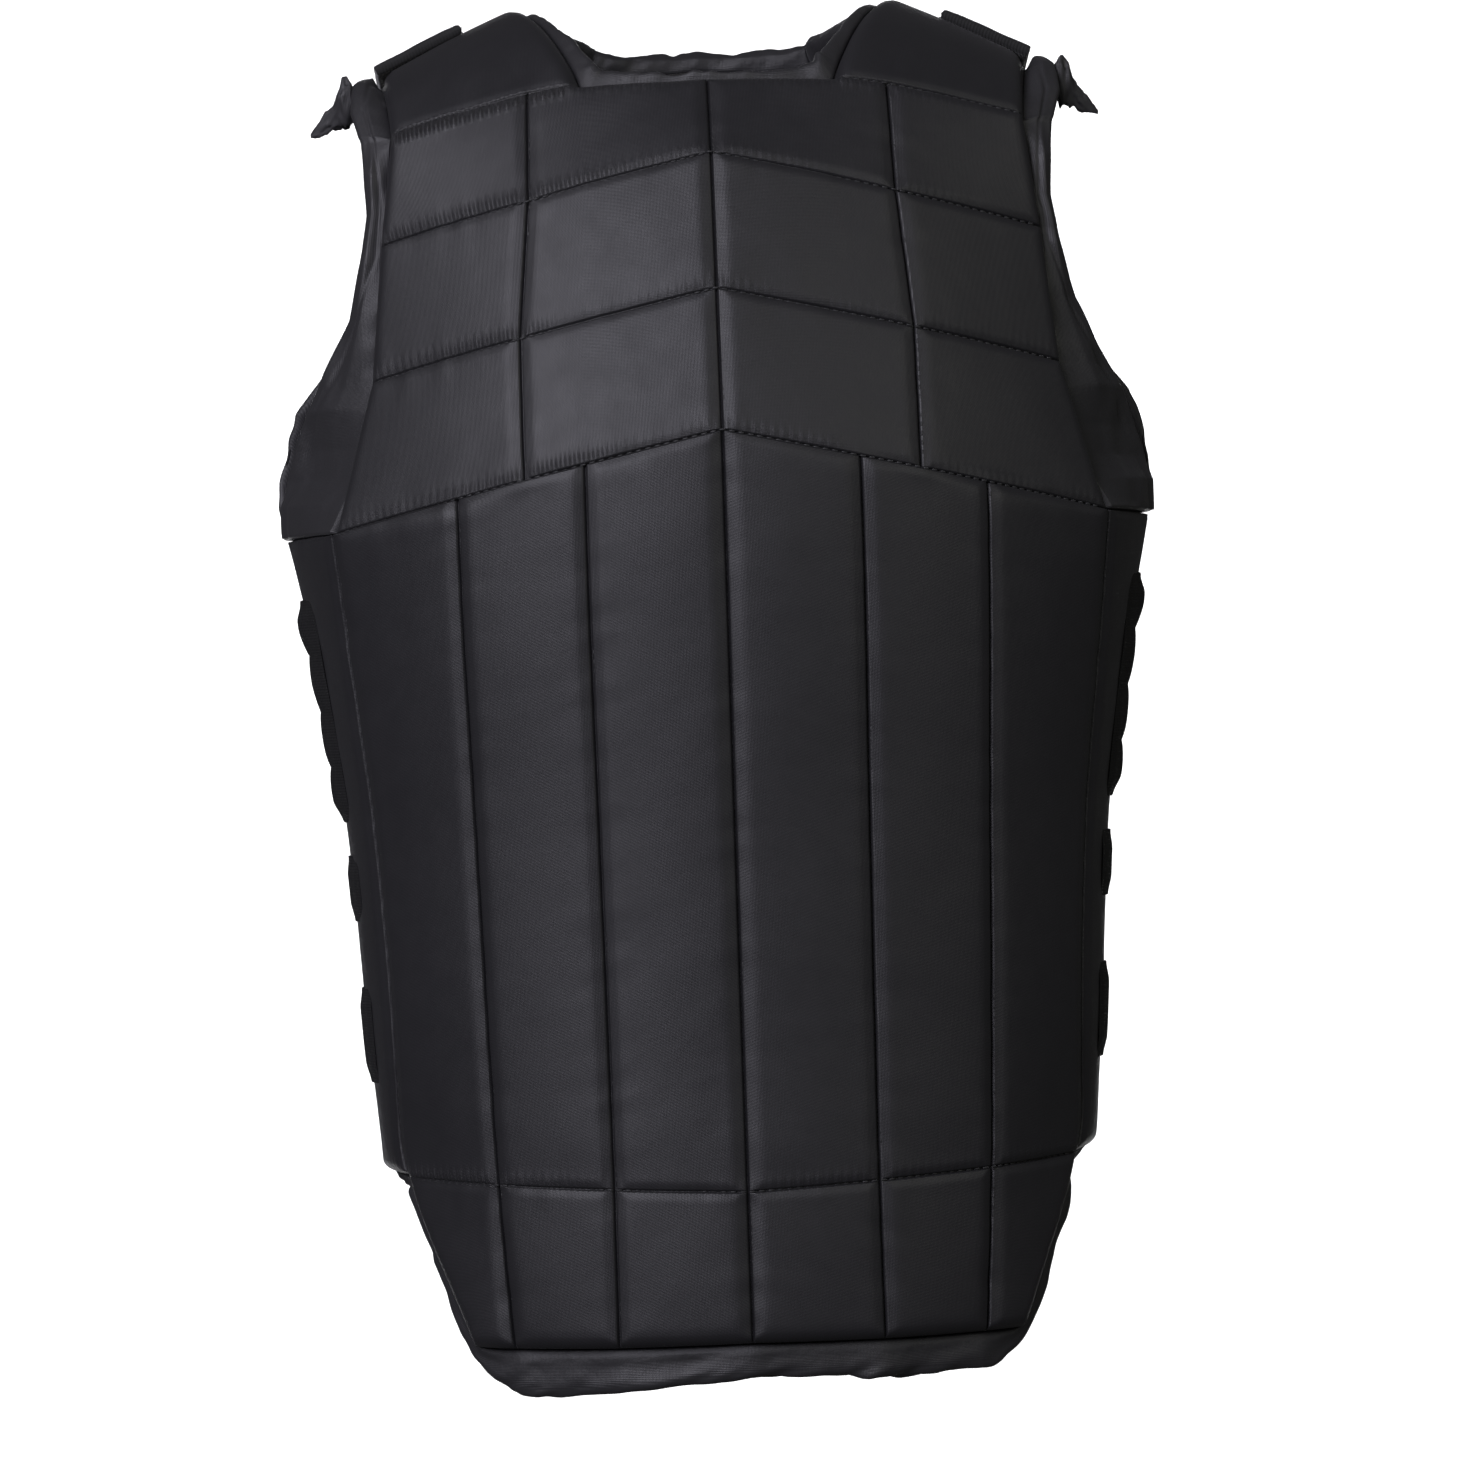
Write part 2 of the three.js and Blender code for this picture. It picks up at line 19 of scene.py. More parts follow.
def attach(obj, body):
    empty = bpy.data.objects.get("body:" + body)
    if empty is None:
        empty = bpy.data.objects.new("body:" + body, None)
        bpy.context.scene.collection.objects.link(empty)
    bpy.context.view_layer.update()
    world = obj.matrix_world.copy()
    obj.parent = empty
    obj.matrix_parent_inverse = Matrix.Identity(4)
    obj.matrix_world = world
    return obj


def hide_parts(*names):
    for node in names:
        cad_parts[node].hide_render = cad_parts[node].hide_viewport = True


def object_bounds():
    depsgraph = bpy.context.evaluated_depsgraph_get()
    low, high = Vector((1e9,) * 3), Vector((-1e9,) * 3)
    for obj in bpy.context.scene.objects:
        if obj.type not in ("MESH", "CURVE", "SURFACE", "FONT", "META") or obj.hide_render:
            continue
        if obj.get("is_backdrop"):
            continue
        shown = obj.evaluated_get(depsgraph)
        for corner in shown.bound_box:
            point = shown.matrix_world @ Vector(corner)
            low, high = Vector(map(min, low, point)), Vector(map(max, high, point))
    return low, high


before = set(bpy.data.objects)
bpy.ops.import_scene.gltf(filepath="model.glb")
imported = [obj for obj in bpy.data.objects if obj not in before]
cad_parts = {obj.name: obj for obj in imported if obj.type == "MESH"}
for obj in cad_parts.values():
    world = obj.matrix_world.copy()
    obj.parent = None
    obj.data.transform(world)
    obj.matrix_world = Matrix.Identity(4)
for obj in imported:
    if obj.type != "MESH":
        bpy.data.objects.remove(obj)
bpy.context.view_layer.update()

log = logging.getLogger("riding_vest")
MM = 0.001
FAR = 1.0  # a distance in metres that is past every seam and rim
WAVE_PERIOD = 0.314  # the bands of a wave texture repeat at this length over its scale


class Face(IntEnum):
    """Which way a panel faces along Y."""

    FRONT = -1
    BACK = 1


class Side(IntEnum):
    """Which side of the vest a piece is on along X."""

    LEFT = -1
    RIGHT = 1


class Line(IntEnum):
    """Lines that run down a panel, from its centre seam out to its side edge."""

    CENTRE = 0
    INNER = 1
    MIDDLE = 2
    OUTER = 3
    ARMHOLE = 4
    SIDE = 5


class Level(IntEnum):
    """Sections of a panel, from the shoulder crest down to the hem."""

    CREST = 0
    YOKE = 1
    COLLARBONE = 2
    BREAST = 3
    CHEST = 4
    RIBS = 5
    WAIST = 6
    BELLY = 7
    SKIRT = 8
    HEM = 9


class Slot(Enum):
    """Names of the vest's material slots."""

    COVER = "cover"
    TRIM = "trim"
    ELASTIC = "elastic"
    HOOK_TAPE = "hook_tape"


@dataclass(frozen=True)
class VestSizes:
    """Main sizes of the vest in metres, taken on the outer faces with the vest closed as it is worn."""

    chest_width: float = 370 * MM
    chest_reach: float = 115 * MM
    back_reach: float = 98 * MM
    body_length: float = 560 * MM
    foam: float = 18 * MM
    rim: float = 7 * MM
    lining_channel: float = 2 * MM
    crown: float = 1.1 * MM
    seam_gap: float = 0.9 * MM
    piece_gap: float = 0.3 * MM
    shoulder_gap: float = 1 * MM
    side_gap: float = 8 * MM
    front_flare: float = 9 * MM
    back_flare: float = 14 * MM

    @property
    def rim_inset(self) -> float:
        """How far each face of the padding turns in at its rim."""
        return (self.foam - self.rim) / 2


@dataclass(frozen=True)
class PanelRow:
    """One section of a panel.

    drop and slant are shares of the body length: how far the centre lies under the shoulder crest, and how
    much lower the armhole seam is than the centre. reach is a share of the panel's reach. girth and the
    seams' places are shares of half the chest width.
    """

    drop: float
    slant: float
    reach: float
    girth: float
    inner: float
    middle: float
    outer: float
    armhole: float


FRONT_ROWS = (
    PanelRow(0.0, 0.052, 0.0, 1.0, 0.43, 0.55, 0.65, 0.745),
    PanelRow(0.071, 0.032, 0.57, 1.0, 0.29, 0.405, 0.56, 0.722),
    PanelRow(0.133, 0.056, 0.78, 0.9, 0.28, 0.411, 0.585, 0.757),
    PanelRow(0.235, 0.055, 0.9, 0.92, 0.295, 0.438, 0.6, 0.786),
    PanelRow(0.339, 0.062, 1.0, 1.0, 0.303, 0.438, 0.589, 0.878),
    PanelRow(0.44, 0.038, 0.97, 0.947, 0.305, 0.44, 0.588, 0.858),
    PanelRow(0.62, 0.0, 0.9, 0.878, 0.3, 0.43, 0.576, 0.81),
    PanelRow(0.78, -0.008, 0.87, 0.852, 0.296, 0.425, 0.565, 0.785),
    PanelRow(0.89, -0.012, 0.88, 0.822, 0.294, 0.42, 0.555, 0.782),
    PanelRow(1.0, 0.004, 0.89, 0.8, 0.296, 0.41, 0.53, 0.625),
)
BACK_ROWS = (
    PanelRow(0.0, 0.052, 0.0, 1.0, 0.43, 0.55, 0.65, 0.745),
    PanelRow(0.027, 0.07, 0.6, 1.0, 0.3, 0.405, 0.56, 0.722),
    PanelRow(0.125, 0.056, 0.86, 0.9, 0.285, 0.42, 0.585, 0.757),
    PanelRow(0.23, 0.055, 0.98, 0.93, 0.295, 0.438, 0.6, 0.786),
    PanelRow(0.339, 0.062, 1.0, 1.0, 0.303, 0.438, 0.589, 0.878),
    PanelRow(0.44, 0.038, 0.96, 0.947, 0.305, 0.44, 0.588, 0.858),
    PanelRow(0.62, 0.0, 0.87, 0.878, 0.3, 0.43, 0.576, 0.81),
    PanelRow(0.78, -0.008, 0.88, 0.852, 0.296, 0.425, 0.565, 0.785),
    PanelRow(0.89, -0.012, 0.92, 0.822, 0.294, 0.42, 0.555, 0.782),
    PanelRow(1.0, 0.004, 0.94, 0.8, 0.296, 0.41, 0.53, 0.625),
)

YOKE_SEAMS = (Line.CENTRE, Line.INNER, Line.ARMHOLE, Line.SIDE)
CHEST_SEAMS = (Line.CENTRE, Line.MIDDLE, Line.ARMHOLE, Line.SIDE)
BODY_SEAMS = (Line.CENTRE, Line.INNER, Line.OUTER, Line.ARMHOLE, Line.SIDE)


def mix(a: np.ndarray, b: np.ndarray, share: np.ndarray) -> np.ndarray:
    """Returns the value a share of the way from a to b."""
    return a + (b - a) * share


def smooth_step(share: np.ndarray) -> np.ndarray:
    """Returns 0 at share 0 and 1 at share 1, level at both ends: 3s^2 - 2s^3."""
    share = np.clip(share, 0.0, 1.0)
    return share * share * (3.0 - 2.0 * share)


def unit(vectors: np.ndarray) -> np.ndarray:
    """Returns vectors along the last axis at length one."""
    return vectors / np.maximum(np.linalg.norm(vectors, axis=-1, keepdims=True), 1e-12)


def bell(values: np.ndarray, middle: float, width: float) -> np.ndarray:
    """Returns 1 at the middle, falling off on both sides: exp(-((v - m) / w)^2)."""
    return np.exp(-(((values - middle) / width) ** 2))


def edge_round(distance: np.ndarray, radius: float) -> np.ndarray:
    """Gives the fall of a rounded edge: 1 - sqrt(1 - r^2), where r is 1 - distance / radius.

    Args:
        distance: Distances from the edge in metres.
        radius: How far from the edge the rounding starts.

    Returns:
        1 at the edge and 0 past the radius.
    """
    roll = np.clip(1 - distance / radius, 0, 1)
    return 1 - np.sqrt(1 - roll**2)


def smooth_noise(u: np.ndarray, v: np.ndarray, seed: int) -> np.ndarray:
    """Value noise: random heights on a lattice of unit squares, joined by smooth steps.

    Args:
        u: Places along the first axis, in lattice squares.
        v: Places along the second axis, in lattice squares.
        seed: Picks the lattice, so that each use gives the same heights every run.

    Returns:
        Heights from -1 to 1, of the shape of u and v broadcast together.
    """
    size = 256
    lattice = np.random.default_rng(seed).uniform(-1.0, 1.0, (size, size))
    u, v = np.broadcast_arrays(u, v)
    iu, iv = np.floor(u).astype(int), np.floor(v).astype(int)
    su, sv = smooth_step(u - iu), smooth_step(v - iv)
    near = mix(lattice[iu % size, iv % size], lattice[(iu + 1) % size, iv % size], su)
    far = mix(lattice[iu % size, (iv + 1) % size], lattice[(iu + 1) % size, (iv + 1) % size], su)
    return mix(near, far, sv)


@dataclass(frozen=True)
class Ripple:
    """Value noise on cloth: the size of its lattice along two directions in metres, and its height."""

    first: float
    second: float
    height: float = 1.0

    def at(self, first: np.ndarray, second: np.ndarray, seed: int) -> np.ndarray:
        """Returns its heights at places in metres along the two directions."""
        return smooth_noise(first / self.first, second / self.second, seed) * self.height


@dataclass(frozen=True)
class PanelForm:
    """The smooth outer form of the front or back panel.

    A section is part of an ellipse as wide as its girth and as deep as its reach. It slants down towards the
    armhole. Sections between two rows of the table are mixed from them. Round the crest they fall away slowly
    and reach out fast, by fall_power and reach_power. Below the chest seam they are averaged over a stretch
    of averaged_over levels to each side, so that no row shows. probe is the step in levels and lines of a
    direction's differences, and blend is how far beside a seam two sets of planks are mixed.
    """

    face: Face
    rows: tuple[PanelRow, ...]
    reach: float
    flare: float
    sizes: VestSizes
    fall_power: float = 1.6
    reach_power: float = 0.85
    averaged_over: float = 0.62
    averaged_steps: int = 601
    averaged_samples: int = 61
    probe: float = 0.02
    blend: float = 0.16
    halvings: int = 24

    def section(self, level: np.ndarray) -> np.ndarray:
        """Mixes the table's rows above the chest seam, and the averaged rows below it.

        Args:
            level: Places down the panel.

        Returns:
            The eight columns of the table at each place, along a new last axis.
        """
        last = len(self.averaged) - 1
        place = np.clip((level - Level.CHEST) / (Level.HEM - Level.CHEST), 0, 1) * last
        lower = np.minimum(np.floor(place).astype(int), last - 1)
        below = mix(self.averaged[lower], self.averaged[lower + 1], (place - lower)[..., None])
        return np.where((level > Level.CHEST)[..., None], below, self.mixed_rows(level))

    @cached_property
    def averaged(self) -> np.ndarray:
        """Averages the rows below the chest seam, at even steps, with weights (1 + cos(pi s)) / 2.

        The stretch averaged over shrinks to nothing at the chest seam and the hem.

        Returns:
            The eight columns of the table at each step.
        """
        level = np.linspace(Level.CHEST, Level.HEM, self.averaged_steps)
        room = np.clip(np.minimum(level - Level.CHEST, Level.HEM - level), 0, self.averaged_over)
        shares = np.linspace(-1, 1, self.averaged_samples)
        weights = (1 + np.cos(np.pi * shares)) / 2
        mixed = [self.mixed_rows(level + room * at) * weight for at, weight in zip(shares, weights)]
        return sum(mixed) / weights.sum()

    def mixed_rows(self, level: np.ndarray) -> np.ndarray:
        """Mixes the table's rows.

        Args:
            level: Places down the panel.

        Returns:
            The eight columns of the table at each place, along a new last axis.
        """
        table = np.array([astuple(row) for row in self.rows])
        lower = np.clip(np.floor(level).astype(int), 0, len(self.rows) - 2)
        share = np.repeat((level - lower)[..., None], table.shape[1], axis=-1)
        in_crest = lower < Level.YOKE
        for column, power in ((0, self.fall_power), (2, self.reach_power)):
            bent = np.maximum(share[..., column], 0) ** power
            share[..., column] = np.where(in_crest, bent, share[..., column])
        return mix(table[lower], table[lower + 1], share)

    def offset(self, section: np.ndarray, line: np.ndarray) -> np.ndarray:
        """Finds the sideways distance from the centre seam to a line.

        Args:
            section: Columns of the table at each place.
            line: Lines from the centre to the armhole seam, both included.

        Returns:
            Distances in metres.
        """
        half = self.sizes.chest_width / 2
        places = np.concatenate([np.zeros_like(section[..., :1]), section[..., 4:8] * half], axis=-1)
        lower = np.clip(np.floor(line).astype(int), 0, 3)
        near = np.take_along_axis(places, lower[..., None], -1)[..., 0]
        far = np.take_along_axis(places, lower[..., None] + 1, -1)[..., 0]
        return mix(near, far, line - lower)

    def form(self, level: np.ndarray, line: np.ndarray) -> np.ndarray:
        """Works out points of the outer form.

        Args:
            level: Places down the panel.
            line: Places across it, negative on the left.

        Returns:
            Points, three numbers along the last axis.
        """
        level, line = (np.asarray(a, dtype=float) for a in np.broadcast_arrays(level, line))
        sizes = self.sizes
        section = self.section(level)
        drop, slant, reach_share, girth = (section[..., i] for i in range(4))
        half = girth * sizes.chest_width / 2
        distance = np.abs(line)
        armhole = self.offset(section, np.full_like(level, Line.ARMHOLE))
        edge_reach = np.maximum(reach_share * self.reach, sizes.side_gap)
        side_angle = np.arccos((sizes.side_gap - sizes.shoulder_gap) / 2 / edge_reach)
        seam_angle = np.arcsin(self.offset(section, np.minimum(distance, Line.ARMHOLE)) / half)
        armhole_angle = np.arcsin(armhole / half)
        past = np.clip(distance - Line.ARMHOLE, 0, None)
        angle = np.where(distance <= Line.ARMHOLE, seam_angle, mix(armhole_angle, side_angle, past))
        x = half * np.sin(angle)
        start = self.offset(section, np.full_like(level, Line.INNER)) * (1 - smooth_step(level - Level.YOKE))
        slanted = slant * np.clip((x - start) / (armhole - start), 0, 1)
        crest = sizes.foam + self.rows[0].slant * sizes.body_length / 2
        y = self.face * (sizes.shoulder_gap / 2 + reach_share * self.reach * np.cos(angle))
        return np.stack([np.sign(line) * x, y, crest - sizes.body_length * (drop + slanted)], axis=-1)

    def normal(self, level: np.ndarray, place: np.ndarray) -> np.ndarray:
        """Works out outward directions from differences of the form, straight up and down at the crest.

        Args:
            level: Places down the panel.
            place: Places across it, negative on the left.

        Returns:
            Unit vectors, three numbers along the last axis.
        """
        level, place = (np.asarray(a, dtype=float) for a in np.broadcast_arrays(level, place))
        step = self.probe
        by_neck = np.sign(place) * np.maximum(np.abs(place), Line.INNER + 2 * step)
        line = np.where(level < Level.YOKE, by_neck, place)
        upper = self.form(np.maximum(0, level - step), line)
        lower = self.form(np.minimum(Level.HEM, level + step), line)
        left = self.form(level, np.maximum(-Line.SIDE, line - step))
        right = self.form(level, np.minimum(Line.SIDE, line + step))
        normal = np.cross(right - left, upper - lower) * -self.face
        normal[..., 1] *= np.minimum(1, np.maximum(level, 0) / Level.YOKE) ** 0.5
        return unit(normal)

    def planks(
        self, level: np.ndarray, line: np.ndarray, seams: tuple[Line, ...]
    ) -> tuple[np.ndarray, np.ndarray]:
        """Works out points of flat planks that run from seam to seam.

        Args:
            level: Places down the panel.
            line: Places across it, negative on the left.
            seams: The lines that are sewn, from the centre out.

        Returns:
            The points, and how far each lies between its two seams.
        """
        level, line = (np.asarray(a, dtype=float) for a in np.broadcast_arrays(level, line))
        side = np.where(line < 0, -1.0, 1.0)
        distance = np.abs(line)
        marks = np.array([float(seam) for seam in seams])
        to = np.clip(np.searchsorted(marks, distance, side="left"), 1, len(marks) - 1)
        near, far = marks[to - 1], marks[to]
        section = self.section(level)
        inside = np.minimum(distance, Line.ARMHOLE)
        start, end = (self.offset(section, np.minimum(mark, float(Line.ARMHOLE))) for mark in (near, far))
        between = (self.offset(section, inside) - start) / np.maximum(end - start, 1e-9)
        share = np.where(far > Line.ARMHOLE, distance - near, between)
        points = mix(self.form(level, side * near), self.form(level, side * far), share[..., None])
        return points, share

    def plate(self, level: np.ndarray, line: np.ndarray) -> tuple[np.ndarray, np.ndarray]:
        """Works out points of the planks with the seams in use at each level.

        Beside the yoke and chest seams the planks above and below are mixed, so that the two sets meet.

        Args:
            level: Places down the panel.
            line: Places across it, negative on the left.

        Returns:
            The points, and how far each lies between its two seams.
        """
        level, line = (np.asarray(a, dtype=float) for a in np.broadcast_arrays(level, line))
        sets = [self.planks(level, line, seams) for seams in (YOKE_SEAMS, CHEST_SEAMS, BODY_SEAMS)]
        past_yoke = smooth_step((level - Level.YOKE) / (2 * self.blend) + 0.5)[..., None]
        past_chest = smooth_step((level - Level.CHEST) / (2 * self.blend) + 0.5)[..., None]
        points = mix(mix(sets[0][0], sets[1][0], past_yoke), sets[2][0], past_chest)
        below = np.where(level < Level.CHEST, sets[1][1], sets[2][1])
        return points, np.where(level < Level.YOKE, sets[0][1], below)

    def level_at(self, line: np.ndarray, height: np.ndarray) -> np.ndarray:
        """Finds the level where a line reaches a height, by halving.

        Args:
            line: Places across the panel.
            height: Heights in metres.

        Returns:
            Levels.
        """
        line, height = np.broadcast_arrays(line, height)
        above, below = np.zeros(line.shape), np.full(line.shape, float(Level.HEM))
        for _ in range(self.halvings):
            middle = (above + below) / 2
            higher = self.form(middle, line)[..., 2] > height
            above, below = np.where(higher, middle, above), np.where(higher, below, middle)
        return (above + below) / 2


def arc_length(points: np.ndarray, axis: int) -> np.ndarray:
    """Adds up the distance along a grid of points.

    Args:
        points: A grid of points.
        axis: The grid's axis to run along.

    Returns:
        The distance from the first point, at every point.
    """
    steps = np.linalg.norm(np.diff(points, axis=axis), axis=-1)
    start = np.zeros_like(np.take(steps, [0], axis=axis))
    return np.cumsum(np.concatenate([start, steps], axis=axis), axis=axis)


def stops_between(
    marks: list[float], lengths: list[float], sewn: list[float], near: tuple[float, ...], step: float
) -> np.ndarray:
    """Spaces the lines of a grid: close together beside each seam, wider on the planks.

    Args:
        marks: Lines or levels where the spacing is set, in order.
        lengths: The distance along the panel from each mark to the next, in metres.
        sewn: The marks that have a seam or an edge.
        near: Distances from a seam that get a line of their own, in metres.
        step: The spacing between them, in metres.

    Returns:
        Lines or levels in rising order.
    """
    stops = [np.array(marks, dtype=float)]
    for start, end, length in zip(marks[:-1], marks[1:], lengths):
        reach = near[-1]
        head = np.array([d for d in near if d < length / 2]) if start in sewn else np.zeros(0)
        tail = np.array([d for d in near if d < length / 2]) if end in sewn else np.zeros(0)
        low = reach if len(head) == len(near) else 0.0
        high = length - (reach if len(tail) == len(near) else 0.0)
        count = max(2, round((high - low) / step) + 1)
        inner = np.linspace(low, high, count)
        places = np.concatenate([head, inner, length - tail])
        stops.append(start + (end - start) * places / length)
    merged = np.sort(np.concatenate(stops))
    return merged[np.concatenate([[True], np.diff(merged) > 1e-4])]


@dataclass
class Surface:
    """A closed mesh before it is made: points, quads and what each point and quad carries."""

    points: np.ndarray
    quads: np.ndarray
    uv: np.ndarray
    # seam holds each point's share of painted shade, laid in seams, creases and recesses.
    seam: np.ndarray
    lined: np.ndarray
    tuck: np.ndarray

    def outward(self) -> "Surface":
        """Turns the faces round where the mesh's volume comes out negative.

        Returns:
            The surface itself.
        """
        a, b, c, d = (self.points[self.quads[:, i]] for i in range(4))
        volume = np.einsum("ij,ij->", a, np.cross(b, c)) + np.einsum("ij,ij->", a, np.cross(c, d))
        if volume < 0:
            self.quads = self.quads[:, ::-1]
        return self

    def build(self, name: str, materials: list[bpy.types.Material]) -> bpy.types.Object:
        """Makes the mesh object, at the origin.

        Args:
            name: The piece's name.
            materials: The outer finish, and the lining's where there is one.

        Returns:
            The object, linked to the scene.
        """
        used, renumbered = np.unique(self.quads, return_inverse=True)
        quads = renumbered.reshape(self.quads.shape)
        mesh = bpy.data.meshes.new(name)
        faces = [list(dict.fromkeys(quad)) for quad in quads.tolist()]
        mesh.from_pydata(self.points[used].tolist(), [], faces)
        corners = np.empty(len(mesh.loops), dtype=np.int32)
        mesh.loops.foreach_get("vertex_index", corners)
        places = self.uv[used][corners].astype(np.float32).ravel()
        mesh.uv_layers.new(name="cloth").data.foreach_set("uv", places)
        # The seam attribute is the mask of painted shade in seams and creases; tuck only bends the normal.
        for mark, values in (("seam", self.seam), ("tuck", self.tuck)):
            attribute = mesh.attributes.new(mark, "FLOAT", "POINT")
            attribute.data.foreach_set("value", values[used].astype(np.float32))
        for material in materials:
            mesh.materials.append(material)
        if len(materials) > 1:
            mesh.polygons.foreach_set("material_index", self.lined.astype(np.int32))
        mesh.shade_smooth()
        mesh.validate()
        piece = bpy.data.objects.new(name, mesh)
        bpy.context.scene.collection.objects.link(piece)
        return piece


def shell(
    outer: np.ndarray,
    inner: np.ndarray,
    uv: np.ndarray,
    seam: np.ndarray,
    cells: np.ndarray | None = None,
    tuck: np.ndarray | None = None,
) -> Surface:
    """Closes the space between two grids of points.

    Each cell has a quad on the outer grid and one on the inner, and a wall closes it wherever its neighbour
    is missing.

    Args:
        outer: Grid of points on the outside.
        inner: Grid of points on the inside, of the same shape.
        uv: Cloth coordinates of the grid in metres.
        seam: How near each point is to a seam, from 0 to 1, which sets how much painted shade the material
            lays there.
        cells: Which cells there are, or None for all.
        tuck: How strongly the cloth is pinched by stitches at each point, or None for nowhere.

    Returns:
        The closed surface.
    """
    rows, columns = outer.shape[:2]
    tuck = np.zeros((rows, columns)) if tuck is None else tuck
    if cells is None:
        cells = np.ones((rows - 1, columns - 1), dtype=bool)
    index = np.arange(rows * columns).reshape(rows, columns)
    a, b, c, d = index[:-1, :-1], index[:-1, 1:], index[1:, 1:], index[1:, :-1]
    behind = rows * columns
    quads = [np.stack([a, b, c, d], -1)[cells], np.stack([a, d, c, b], -1)[cells] + behind]
    lined = [np.zeros(cells.sum(), bool), np.ones(cells.sum(), bool)]
    padded = np.pad(cells, 1)
    above, below = padded[:-2, 1:-1], padded[2:, 1:-1]
    before, after = padded[1:-1, :-2], padded[1:-1, 2:]
    sides = [(a, b, above), (b, c, after), (c, d, below), (d, a, before)]
    for start, end, beside in sides:
        open_edge = cells & ~beside
        first, last = start[open_edge], end[open_edge]
        quads.append(np.stack([last, first, first + behind, last + behind], -1))
        lined.append(np.zeros(len(first), bool))
    points = np.concatenate([outer.reshape(-1, 3), inner.reshape(-1, 3)])
    both = np.concatenate([uv.reshape(-1, 2)] * 2)
    marks = np.tile(seam.ravel(), 2), np.tile(tuck.ravel(), 2)
    return Surface(points, np.concatenate(quads), both, marks[0], np.concatenate(lined), marks[1]).outward()


def tube(rings: np.ndarray, uv: np.ndarray, seam: np.ndarray) -> Surface:
    """Closes a row of rings into one surface, each end drawn together in its middle.

    Args:
        rings: Points, along the path by round the ring.
        uv: Cloth coordinates of the rings' points in metres.
        seam: How near each point is to a seam, from 0 to 1, which sets how much painted shade the material
            lays there.

    Returns:
        The closed surface.
    """
    count, around = rings.shape[:2]
    index = np.arange(count * around).reshape(count, around)
    beside = np.roll(index, -1, axis=1)
    quads = [np.stack([index[:-1], beside[:-1], beside[1:], index[1:]], -1).reshape(-1, 4)]
    middles = count * around + np.arange(2)
    for ring, middle in ((0, middles[0]), (count - 1, middles[1])):
        cap = np.stack([index[ring], np.full(around, middle), np.full(around, middle), beside[ring]], -1)
        quads.append(cap if ring == 0 else cap[:, ::-1])
    points = np.concatenate([rings.reshape(-1, 3), rings[[0, -1]].mean(axis=1)])
    uv = np.concatenate([uv.reshape(-1, 2), uv[[0, -1]].mean(axis=1)])
    seam = np.concatenate([seam.ravel(), seam[[0, -1]].mean(axis=1)])
    joined = np.concatenate(quads)
    return Surface(points, joined, uv, seam, np.zeros(len(joined), bool), np.zeros(len(points))).outward()


@dataclass(frozen=True)
class SeamShape:
    """The section across a seam: a soft bevel on each side of a sharp crease."""

    bevel_width: float
    bevel_depth: float
    crease_width: float
    crease_depth: float

    def depth(self, distance: np.ndarray) -> np.ndarray:
        """Gives how far the cover is drawn in: bevel (1 - d/w)^1.1 plus crease step(1 - d/c).

        Args:
            distance: Distances from the seam in metres.

        Returns:
            Depths in metres, zero past each width.
        """
        bevel = np.clip(1 - distance / self.bevel_width, 0, 1) ** 1.1 * self.bevel_depth
        crease = smooth_step(1 - distance / self.crease_width) * self.crease_depth
        return bevel + crease


UPRIGHT_SEAM = SeamShape(5.8 * MM, 1.7 * MM, 0.9 * MM, 1.8 * MM)
LEVEL_SEAM = SeamShape(3.6 * MM, 0.8 * MM, 0.7 * MM, 1.0 * MM)
NEAR_SEAM = tuple(d * MM for d in (0.3, 0.7, 1.1, 1.5, 2.2, 3.2, 4.4, 5.6))
SEAM_PULLS = Ripple(7 * MM, 26 * MM)
SEAM_TUCKS = Ripple(6 * MM, 22 * MM)
PLANK_ROLLS = Ripple(46 * MM, 46 * MM, 0.32 * MM)
PLANK_WAVES = Ripple(17 * MM, 19 * MM, 0.08 * MM)


def blown_up(points: np.ndarray, quads: np.ndarray, held: np.ndarray, frames: int) -> np.ndarray:
    """Blows up a sheet of cloth by pressure, with some of its points held.

    Args:
        points: Points of the sheet, three numbers along the last axis.
        quads: Its faces, facing out.
        held: The numbers of the points that stay in place.
        frames: How long the simulation runs.

    Returns:
        The moved points, of the shape of points.
    """
    mesh = bpy.data.meshes.new("swelling")
    mesh.from_pydata(points.reshape(-1, 3).tolist(), [], quads.tolist())
    sheet = bpy.data.objects.new("swelling", mesh)
    scene = bpy.context.scene
    scene.collection.objects.link(sheet)
    sheet.vertex_groups.new(name="held").add(held.tolist(), 1.0, "REPLACE")
    cloth = sheet.modifiers.new("cloth", "CLOTH")
    cloth.settings.vertex_group_mass = "held"
    cloth.settings.use_pressure = True
    cloth.settings.uniform_pressure_force = 5.0
    cloth.settings.quality = 5
    cloth.settings.tension_stiffness = 12.0
    cloth.settings.compression_stiffness = 12.0
    cloth.settings.bending_stiffness = 0.4
    cloth.settings.effector_weights.gravity = 0.0
    cloth.collision_settings.use_collision = False
    for number in range(1, frames + 1):
        scene.frame_set(number)
    blown = sheet.evaluated_get(bpy.context.evaluated_depsgraph_get()).to_mesh()
    moved = np.empty(points.size, dtype=np.float32)
    blown.vertices.foreach_get("co", moved)
    scene.frame_set(1)
    bpy.data.objects.remove(sheet)
    bpy.data.meshes.remove(mesh)
    return moved.reshape(points.shape)


@dataclass(frozen=True)
class TuckBelt:
    """The belt of small tucks beside the level seams: places and widths in metres, strengths as shares."""

    middle: float = 2.5 * MM
    width: float = 3.2 * MM
    overlap: float = 1 * MM
    patch: float = 30 * MM
    right_strength: float = 0.25
    yoke_middle: float = 3 * MM
    yoke_width: float = 4 * MM
    yoke_strength: float = 3.2
    yoke_start: float = 1.2


TUCK_BELT = TuckBelt()


